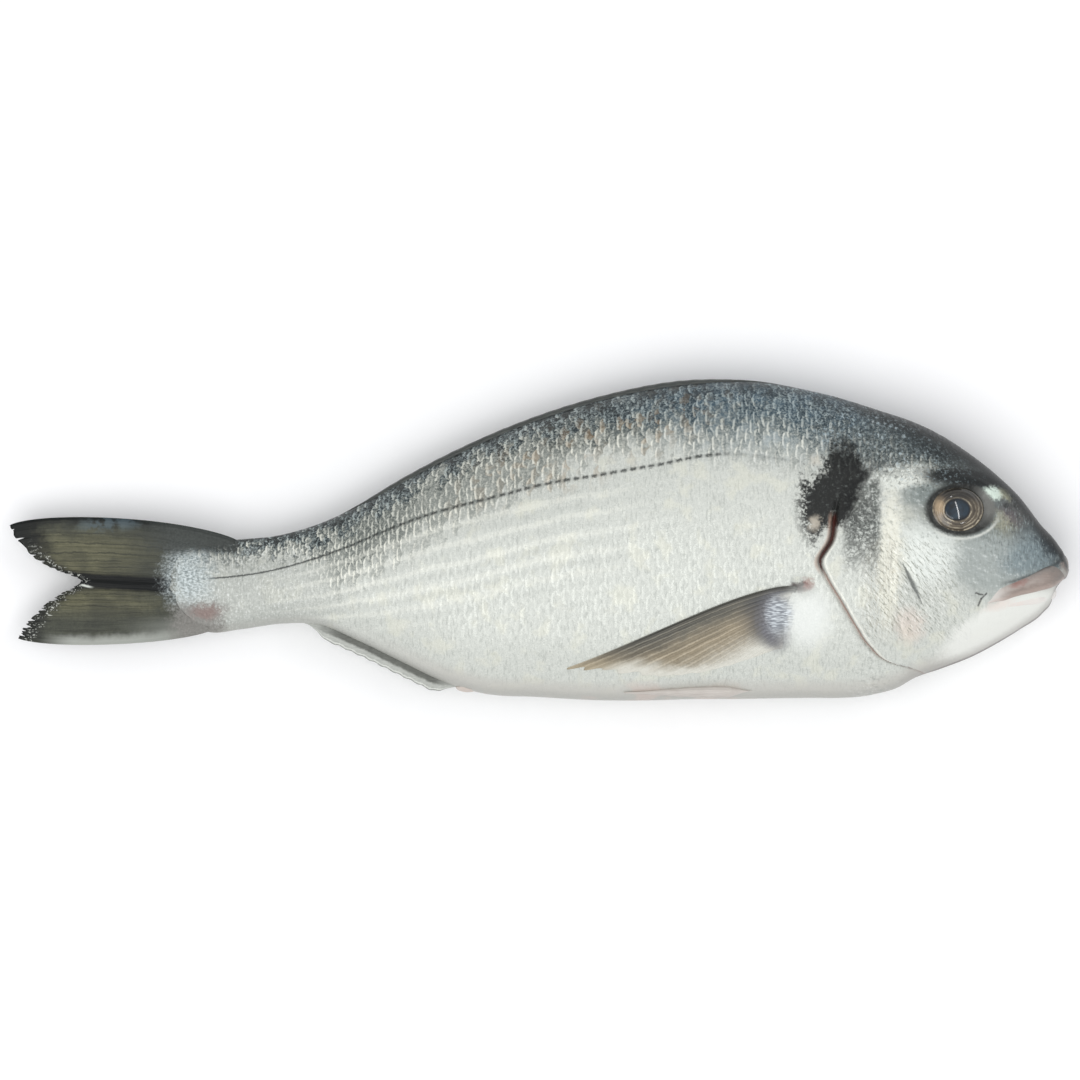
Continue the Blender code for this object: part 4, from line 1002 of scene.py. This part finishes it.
def breast_finish():
    """Breast fin: dark grey upper rays, tan middle ones, and cream where it fades into the flank."""
    s = Finish("breast fin")
    place = s.place()
    x, y, _ = s.split(place)
    across, along, rim = s.attribute("fin_place")
    mottle = s.noise(place, 0.35, 3.0, 0.6)
    fine = s.noise(place, 1.6, 3.0, 0.65)
    fibres = s.noise(s.join(across * 70.0, along * 3.0), 1.0, 3.0, 0.6)
    rays = ((across * BREAST_RAYS + (mottle - 0.5) * 0.4).maths("FRACT") - 0.5).maths("ABSOLUTE")
    gap = (rays + (fine - 0.5) * 0.25).ramp(0.28, 0.5)
    brown = s.blend((fibres * 1.2 + fine * 0.5 - 0.35).hold(), paint(98, 90, 74), paint(166, 153, 129))
    colour = s.blend(gap * (0.15 + 0.6 * fibres), brown, paint(200, 188, 164))
    upper = (across + (mottle - 0.5) * 0.16 + along * 0.04).ramp(0.36, 0.10) * along.ramp(1.0, 0.70)
    hairs = (gap * 0.5 + fibres * 1.1 - 0.35).hold()
    colour = s.blend(upper * 0.88, colour, s.blend(hairs, paint(38, 41, 40), paint(128, 126, 115)))
    rim_line = across.ramp(0.05, 0.0) * along.ramp(0.95, 0.6)
    colour = s.blend(rim_line * 0.6, colour, paint(40, 42, 41))
    flank_tone = s.blend(fine, paint(190, 189, 178), paint(224, 223, 214))
    fade = (across + (mottle - 0.5) * 0.2 + (fine - 0.5) * 0.1 + along * 0.10).ramp(0.38, 0.80)
    colour = s.blend(fade * (0.70 + 0.28 * across.ramp(0.4, 0.8)), colour, flank_tone)
    tip = (along + (mottle - 0.5) * 0.2).ramp(0.85, 1.0)
    colour = s.blend(tip * 0.35, colour, paint(186, 174, 148))
    ends = (along + (mottle - 0.5) * 0.10).ramp(0.78, 0.97) * across.ramp(0.10, 0.25)
    colour = s.blend(ends * 0.92, colour, flank_tone)
    by_pad = s.oval(x + (fine - 0.5) * 1.4, y + (fine - 0.5) * 1.4, (67.3, -22.6), (5.6, 7.6), 0)
    shadow = by_pad.ramp(2.3, 1.0) * across.ramp(0.0, 0.1) * along.ramp(0.55, 0.2)
    colour = s.blend(shadow * 0.80, colour, paint(66, 68, 72))
    colour = s.blend(x.ramp(65.0, 69.0) * across.ramp(0.06, 0.15) * 0.95, colour, flank_tone)
    colour = fin_base(s, colour, x, y, s.noise(place, 0.55, 3.0, 0.6), s.noise(place, 1.5, 3.0, 0.7))
    relief = fibres * 0.5 + gap * 0.4 + fine * 0.3
    return s.surface(colour, 0.46, coat=0.12, coat_rough=0.25, specular=0.3, normal=s.bumps(relief, 0.08))


def strip_finish(name, first, second):
    """A folded fin: smooth dark skin with fine lines along it."""
    s = Finish(name)
    place = s.place()
    x, y, z = s.split(place)
    lines = s.noise(s.join(x * 0.25, y * 3.0, z * 3.0), 1.0, 3.0, 0.6)
    mottle = s.noise(place, 0.3, 2.0)
    colour = s.blend((lines * 0.8 + mottle * 0.6 - 0.3).hold(), paint(*first), paint(*second))
    return s.surface(colour, 0.45, coat=0.12, coat_rough=0.25, specular=0.3, normal=s.bumps(lines, 0.15))


def anal_finish():
    """The folded anal fin: dark along its root, silver grey outside, with a thin pale line and a dark rim."""
    s = Finish("anal fin")
    place = s.place()
    x, y, z = s.split(place)
    share, outward, _ = s.attribute("strip_place")
    fine = s.noise(place, 1.5, 3.0, 0.7)
    lines = s.noise(s.join((x + y * 2.2) * 0.5, y * 2.6, z), 1.0, 2.0, 0.6)
    reach = outward + (fine - 0.5) * 0.16
    colour = s.blend((lines * 0.9 + fine * 0.4 - 0.15).hold(), paint(138, 141, 136), paint(196, 198, 191))
    dark = reach.ramp(0.56, 0.34) * share.ramp(0.0, 0.25) * share.ramp(0.98, 0.80)
    colour = s.blend(dark * 0.9, colour, s.blend(lines, paint(48, 50, 45), paint(92, 94, 86)))
    colour = s.blend(reach.near(0.86, 0.08) * 0.7, colour, paint(226, 228, 221))
    colour = s.blend(reach.ramp(0.92, 1.0) * 0.7, colour, paint(84, 87, 83))
    return s.surface(colour, 0.45, coat=0.12, coat_rough=0.25, specular=0.3, normal=s.bumps(lines, 0.12))


# Pieces


def side_heights():
    """Values of t up one flank, closer together at the two edges."""
    s = np.linspace(-1.0, 1.0, SKIN_ROWS + 1)
    return 0.8 * np.sin(s * math.pi / 2) + 0.2 * s


def skin_side(side, stations, heights):
    """Points, and attribute values, of one side of the skin before its relief."""
    station, t = np.meshgrid(stations, heights, indexing="ij")
    bend = ramp(station, 16.0, 77.0) * ramp(station, 141.0, 84.0)
    x = station.copy()
    for _ in range(8):
        middle, half = outline(x)
        height = np.clip(middle + t * half, BEND_LOWEST, GILL_TOP)
        x = station + bend * (through(GILL_EDGE, height) - GILL_REAR)
    middle, half = outline(x)
    y = middle + t * half
    z = middle_height(x) + side * flank(x, t)
    return x, y, z, t


def make_skin(finish):
    """The scaled skin: a right and a left side that meet along the back and the belly."""
    stations = np.concatenate([np.linspace(*run) for run in SKIN_RUNS])
    heights = side_heights()
    sides = {side: skin_side(side, stations, heights) for side in (1, -1)}
    ring = [np.concatenate([sides[1][k], sides[-1][k][:, -2:0:-1]], axis=1) for k in range(4)]
    base = to_points(*ring[:3])
    outwards = grid_normals(base, closed=True)
    count = len(heights)
    relief_ring, values = [], {}
    for side in (1, -1):
        x, y, z, t = sides[side]
        along, rows = scale_rows(x, t, y, z)
        scaly = scaliness(x, y, t)
        fade = 1 - np.abs(t) ** 10
        relief = (gill_relief(x, y) + cheek_relief(x, y) + face_relief(x, y)) * fade
        relief = relief + scale_relief(along, rows, scaly) + 0.10 * wander(x, y, 26.0, 11)
        middle, half = outline(x)
        cheek = x - through(CHEEK_EDGE, y)
        over_lip = y - through([(a, b + 0.8 * c) for a, b, c in UPPER_LIP], x)
        values[side] = (
            to_points(along, rows, scaly),
            to_points(over_lip, x * 0, x * 0),
            to_points(x - through(GILL_EDGE, y), cheek, from_segment(x, y, CHEEK_GROOVE)),
            to_points((middle + half) - y, y - (middle - half), t),
        )
        relief_ring.append(relief)
    relief = np.concatenate([relief_ring[0], relief_ring[1][:, -2:0:-1]], axis=1)
    points = base - outwards * relief[..., None] * np.sign(np.sum(outwards[len(stations) // 2, count // 2] * (0, 0, -1)))
    points[..., 2] = np.maximum(points[..., 2], 0.0)
    normals = grid_normals(points, closed=True)
    if normals[len(stations) // 2, count // 2, 2] < 0:
        normals = -normals
    labels = ("scale_place", "lip_distance", "face_lines", "edge_distance")
    back = [k for k in range(count)]
    front = [0] + [k for k in range(points.shape[1] - 1, count - 2, -1)]
    for name, side, picked in (("right_skin", 1, back), ("left_skin", -1, front)):
        attributes = list(zip(labels, values[side]))
        faces = grid_faces(len(stations), count, flip=side > 0)
        make_object(name, points[:, picked], faces, finish, normals[:, picked], attributes)


def make_lips(upper_finish, lower_finish):
    """Two fleshy lips from corner to corner round the snout."""
    upper = ("upper_lip", UPPER_LIP, 0.85, 1.75, upper_finish)
    lower = ("lower_lip", LOWER_LIP, 0.08, 1.2, lower_finish)
    for name, lip, proud, full, finish in (upper, lower):
        share = np.linspace(1.0, 0.0, 70)
        front = lip[-1][0]
        x = front - (front - lip[0][0]) * share ** 1.6
        y, tall = spread(lip, x)
        turn = np.sin(np.minimum(1.0, share / LIP_FRONT_SHARE) * math.pi / 2) ** 0.8
        thick = full * ramp(share, 1.0, 0.75) + 0.1
        out = np.maximum(flank_at(x, y) + proud * ramp(share, 1.0, 0.7) - thick, 0.0) * turn
        middle = np.concatenate([to_points(x, y, REST_HEIGHT + out), to_points(x, y, REST_HEIGHT - out)[-2::-1]])
        tall, thick = (np.concatenate([size, size[-2::-1]]) for size in (tall, thick))
        tube_object(name, middle, tall, thick, finish, sides=32)


def make_eye(side, finish):
    """One eyeball: a low dome with a raised pupil, set in the socket."""
    out, turn = np.meshgrid(np.linspace(0.004, 1.0, 64), np.linspace(0, 2 * math.pi, 128, endpoint=False), indexing="ij")
    x = EYE_CENTRE[0] + EYE_RADII[0] * out * np.cos(turn)
    y = EYE_CENTRE[1] + EYE_RADII[1] * out * np.sin(turn)
    dome = EYE_RADII[2] * np.sqrt(np.clip(1 - out ** 2, 0, 1))
    pupil = 0.28 * ramp(out, 0.54, 0.42)
    rings = 0.04 * np.cos(out * 40.0 + np.cos(turn * 2.0)) * ramp(out, 0.5, 0.6)
    follow = EYE_TILT * (flank_at(x, y) - flank_at(*EYE_CENTRE))
    rise = flank_at(*EYE_CENTRE) + follow - EYE_SUNK + dome + pupil + rings
    z = REST_HEIGHT + side * rise
    points = to_points(x, y, z)
    faces = grid_faces(*out.shape, closed=True, flip=side < 0)
    name = "right_eye" if side > 0 else "left_eye"
    make_object(name, points, faces, finish, attributes=[("eye_place", to_points(out, turn, out * 0))])


def spread(points, share):
    """Read the two coordinates of a line whose points are listed with their share of its way."""
    return (through([(p[0], p[1]) for p in points], share), through([(p[0], p[2]) for p in points], share))


def ray_relief(across, along, rays, height):
    """Ridges along the rays, which split in two and again towards the free edge."""
    first = np.cos(2 * math.pi * rays * across)
    second = np.cos(4 * math.pi * rays * across)
    third = np.cos(8 * math.pi * rays * across)
    split, twice = ramp(along, 0.15, 0.45), ramp(along, 0.45, 0.8)
    return height * (first * (1 - 0.6 * split) + second * split * (1 - 0.5 * twice) * 0.6 + third * twice * 0.35)


def make_tail_fin(finish):
    """The forked tail fin with a ragged edge."""
    across, along = np.meshgrid(np.linspace(0.0, 1.0, 341), np.linspace(0.0, 1.0, 96), indexing="ij")
    root, edge = spread(TAIL_ROOT, across), spread(TAIL_EDGE, across)
    draw = np.random.default_rng(21)
    nicks = np.zeros(across.shape[0])
    for _ in range(46):
        at, width, depth = draw.uniform(0.02, 0.98), draw.uniform(0.002, 0.006), draw.uniform(0.008, 0.04)
        nicks += depth * np.exp(-((across[:, 0] - at) / width) ** 2)
    frayed = 0.006 * (wander(across * 100, 0, 5.0, 8) + 1) * along
    reach = along * (1 - np.minimum(nicks, 0.045)[:, None] * along ** 2 - frayed)
    x = root[0] + (edge[0] - root[0]) * reach
    y = root[1] + (edge[1] - root[1]) * reach + tail_bulge(across, reach)
    y = y + 0.12 * wander(across * 60, along * 10, 6.0, 9) * along
    half = (TAIL_ROOT_THICKNESS + (TAIL_EDGE_THICKNESS - TAIL_ROOT_THICKNESS) * reach ** 0.7) / 2
    fold = TAIL_FOLD * ramp(across, 0.53, 0.47) - TAIL_FOLD / 2
    lobe = np.minimum(1.0, 3 * reach)
    ridge = ray_relief(across, along, TAIL_RAYS, 0.05) * lobe * ramp(np.abs(across - 0.5), 0.5, 0.46)
    wave = 0.35 * wander(across * 30, along * 20, 14.0, 10) * along
    rounding = ramp(np.minimum(across, 1 - across), 0.0, 0.02) * 0.75 + 0.25
    thick = half * rounding * (0.3 + 0.7 * ramp(along, 1.0, 0.94))
    z = middle_height(x) + (fold + wave) * lobe
    attributes = [("fin_place", to_points(across, along, 1 - ramp(np.minimum(across, 1 - across), 0.0, 0.05)))]
    plate_object("tail_fin", to_points(x, y, z + thick + ridge), to_points(x, y, z - thick - ridge), finish, attributes)


def make_breast_fin(side, finish):
    """A breast fin folded back on its flank, its underside just inside the skin."""
    across, along = np.meshgrid(np.linspace(0.0, 1.0, 241), np.linspace(0.0, 1.0, 120), indexing="ij")
    root, edge = spread(BREAST_ROOT, across), spread(BREAST_EDGE, across)
    reach = along * (1 - 0.02 * (wander(across * 100, 0, 7.0, 12) + 1) * along ** 3)
    x = root[0] + (edge[0] - root[0]) * reach
    y = root[1] + (edge[1] - root[1]) * reach + breast_bulge(across, reach)
    out = flank_at(x, y)
    rise = 1.25 - 0.85 * reach ** 0.8 + 0.55 * ramp(across, 0.35, 0.05) * (1 - reach)
    rise = rise + 0.5 * bump(along, across, (0.10, 0.45), (0.05, 0.35))
    rise = rise * (0.45 + 0.55 * ramp(across, 0.0, 0.03)) * (1 - 0.9 * ramp(across, 0.55, 1.0))
    rise = rise + ray_relief(across, along, BREAST_RAYS, 0.07) * np.minimum(1.0, 5 * along) * ramp(across, 0.0, 0.02)
    rise = rise * ramp(along, 0.0, 0.10) - 0.35 * ramp(along, 0.03, 0.0)
    middle = middle_height(x)
    top = to_points(x, y, np.maximum(middle + side * (out + rise), 0.02))
    under = to_points(x, y, np.maximum(middle + side * (out - 0.8), 0.3))
    name = "right_breast_fin" if side > 0 else "left_breast_fin"
    rim = 1 - ramp(across, 0.0, 0.04)
    plate_object(name, top, under, finish, [("fin_place", to_points(across, along, rim))])


def edge_fin(name, ends, line, outward, rise, half_width, front_taper, lean, finish):
    """A fin folded along the edge of the body, with ribs that lean back and taper at both ends."""
    share, angle = np.meshgrid(np.linspace(0, 1, 420), np.linspace(0, 2 * math.pi, 22, endpoint=False), indexing="ij")
    x = ends[0] + (ends[1] - ends[0]) * share
    taper = ramp(share, 0.0, 0.16) * ramp(share, 1.0, 1.0 - front_taper)
    ribs = np.cos(2 * math.pi * (x * lean + np.cos(angle) * 0.35))
    height = rise * (0.02 + 0.98 * taper) * (1 + 0.04 * ribs)
    up = np.where(np.cos(angle) > 0, height, 1.8)
    wide = half_width * (0.15 + 0.85 * taper) * (1 + 0.07 * ribs)
    y = through(line, x) + outward * up * np.cos(angle)
    z = middle_height(x) + wide * np.sin(angle) + 0.25 * wander(x, 0, 30.0, 14)
    faces = grid_faces(*x.shape, closed=True, flip=outward > 0)
    place = [("strip_place", to_points(share, np.cos(angle), x * 0))]
    make_object(name, to_points(x, y, z), faces, finish, attributes=place)


def make_pelvic_fin(side, finish):
    """A belly fin folded flat beside the keel."""
    share, angle = np.meshgrid(np.linspace(0, 1, 160), np.linspace(0, 2 * math.pi, 40, endpoint=False), indexing="ij")
    x = PELVIC_ENDS[0] + (PELVIC_ENDS[1] - PELVIC_ENDS[0]) * share
    size = 1.6 * (0.03 + 0.97 * ramp(share, 0.0, 0.22) * ramp(share, 1.12, 0.25))
    ribs = 1 + 0.06 * np.cos(14 * angle) * ramp(share, 0.05, 0.3)
    y = through(BELLY_LINE, x) + 2.2 + 1.1 * size * ribs * np.cos(angle)
    z = middle_height(x) + side * (PELVIC_SIDE + 1.6 * size * ribs * np.sin(angle))
    name = "right_belly_fin" if side > 0 else "left_belly_fin"
    make_object(name, to_points(x, y, z), grid_faces(*x.shape, closed=True, flip=side < 0), finish)


def make_vent(finish):
    """The small round bump of the vent."""
    up, turn = np.meshgrid(np.linspace(0.02, math.pi - 0.02, 24), np.linspace(0, 2 * math.pi, 36, endpoint=False), indexing="ij")
    folds = 1 + 0.10 * np.cos(9 * turn) * np.sin(up)
    x = VENT_CENTRE[0] + VENT_RADII[0] * np.cos(up)
    y = VENT_CENTRE[1] + VENT_RADII[1] * np.sin(up) * np.cos(turn) * folds
    z = middle_height(VENT_CENTRE[0]) + VENT_RADII[2] * np.sin(up) * np.sin(turn) * folds
    make_object("vent", to_points(x, y, z), grid_faces(*x.shape, closed=True), finish)


# Floor, light and camera


PHOTO_PIXELS = 1080
PIXEL = 0.282               # millimetres of the fish that one pixel of the photograph covers
PHOTO_MIDDLE = (538.8, 539.5)
CAMERA_HEIGHT = 5000.0
SENSOR = 36.0


def make_floor():
    s = Finish("pale floor")
    grain = s.noise(s.place(), 0.05, 3.0)
    finish = s.surface(s.blend(grain, (0.93, 0.93, 0.93, 1.0), (0.95, 0.95, 0.95, 1.0)), 0.8, specular=0.1)
    half = 1.5
    mesh = bpy.data.meshes.new("floor")
    mesh.from_pydata([(-half, -half, 0), (half, -half, 0), (half, half, 0), (-half, half, 0)], [], [(0, 1, 2, 3)])
    mesh.materials.append(finish)
    floor = bpy.data.objects.new("floor", mesh)
    bpy.context.scene.collection.objects.link(floor)


def make_light(name, place, size, power, tall=None):
    """A soft light. A square one is aimed at the middle of the fish; a long strip points straight down."""
    light = bpy.data.lights.new(name, "AREA")
    light.energy = power
    light.size = size
    if tall is not None:
        light.shape = "RECTANGLE"
        light.size_y = tall
    lamp = bpy.data.objects.new(name, light)
    lamp.location = place
    if tall is None:
        lamp.rotation_euler = (-lamp.location).to_track_quat("-Z", "Y").to_euler()
    bpy.context.scene.collection.objects.link(lamp)


def make_camera():
    width = PHOTO_PIXELS * PIXEL
    distance = CAMERA_HEIGHT - REST_HEIGHT
    camera = bpy.data.cameras.new("camera")
    camera.sensor_width = SENSOR
    camera.lens = SENSOR * distance / width
    camera.clip_end = 20.0
    eye = bpy.data.objects.new("camera", camera)
    middle = PHOTO_PIXELS / 2
    x = (middle - PHOTO_MIDDLE[0]) * PIXEL
    y = (PHOTO_MIDDLE[1] - middle) * PIXEL
    eye.location = (x * MM, y * MM, CAMERA_HEIGHT * MM)
    bpy.context.scene.collection.objects.link(eye)
    bpy.context.scene.camera = eye


def make_surroundings():
    make_floor()
    world = bpy.data.worlds.new("studio")
    world.use_nodes = True
    world.node_tree.nodes["Background"].inputs["Color"].default_value = (0.965, 0.975, 1.0, 1.0)
    world.node_tree.nodes["Background"].inputs["Strength"].default_value = 0.66
    scene = bpy.context.scene
    scene.world = world
    scene.view_settings.view_transform = "Standard"
    make_light("key", (-0.2, -0.4, 1.6), 1.4, 15.6)
    make_light("strip", (1.10, 0.72, 1.86), 0.08, 7.0, tall=1.8)
    make_camera()


def main():
    skin = skin_finish()
    pink_grey = strip_finish("belly fin skin", (178, 170, 163), (210, 206, 199))
    make_skin(skin)
    make_lips(upper_lip_finish(), lower_lip_finish())
    eye = eye_finish()
    breast = breast_finish()
    for side in (1, -1):
        make_eye(side, eye)
        make_breast_fin(side, breast)
        make_pelvic_fin(side, pink_grey)
    make_tail_fin(tail_finish())
    dark_strip = strip_finish("folded fin skin", (42, 45, 44), (84, 88, 84))
    edge_fin("back_fin", BACK_FIN_ENDS, BACK_LINE, 1, 1.0, 1.7, 0.3, 0.22, dark_strip)
    edge_fin("anal_fin", ANAL_FIN_ENDS, BELLY_LINE, -1, 3.9, 1.2, 0.2, 0.3, anal_finish())
    make_vent(strip_finish("vent skin", (194, 182, 173), (212, 204, 196)))
    make_surroundings()


main()
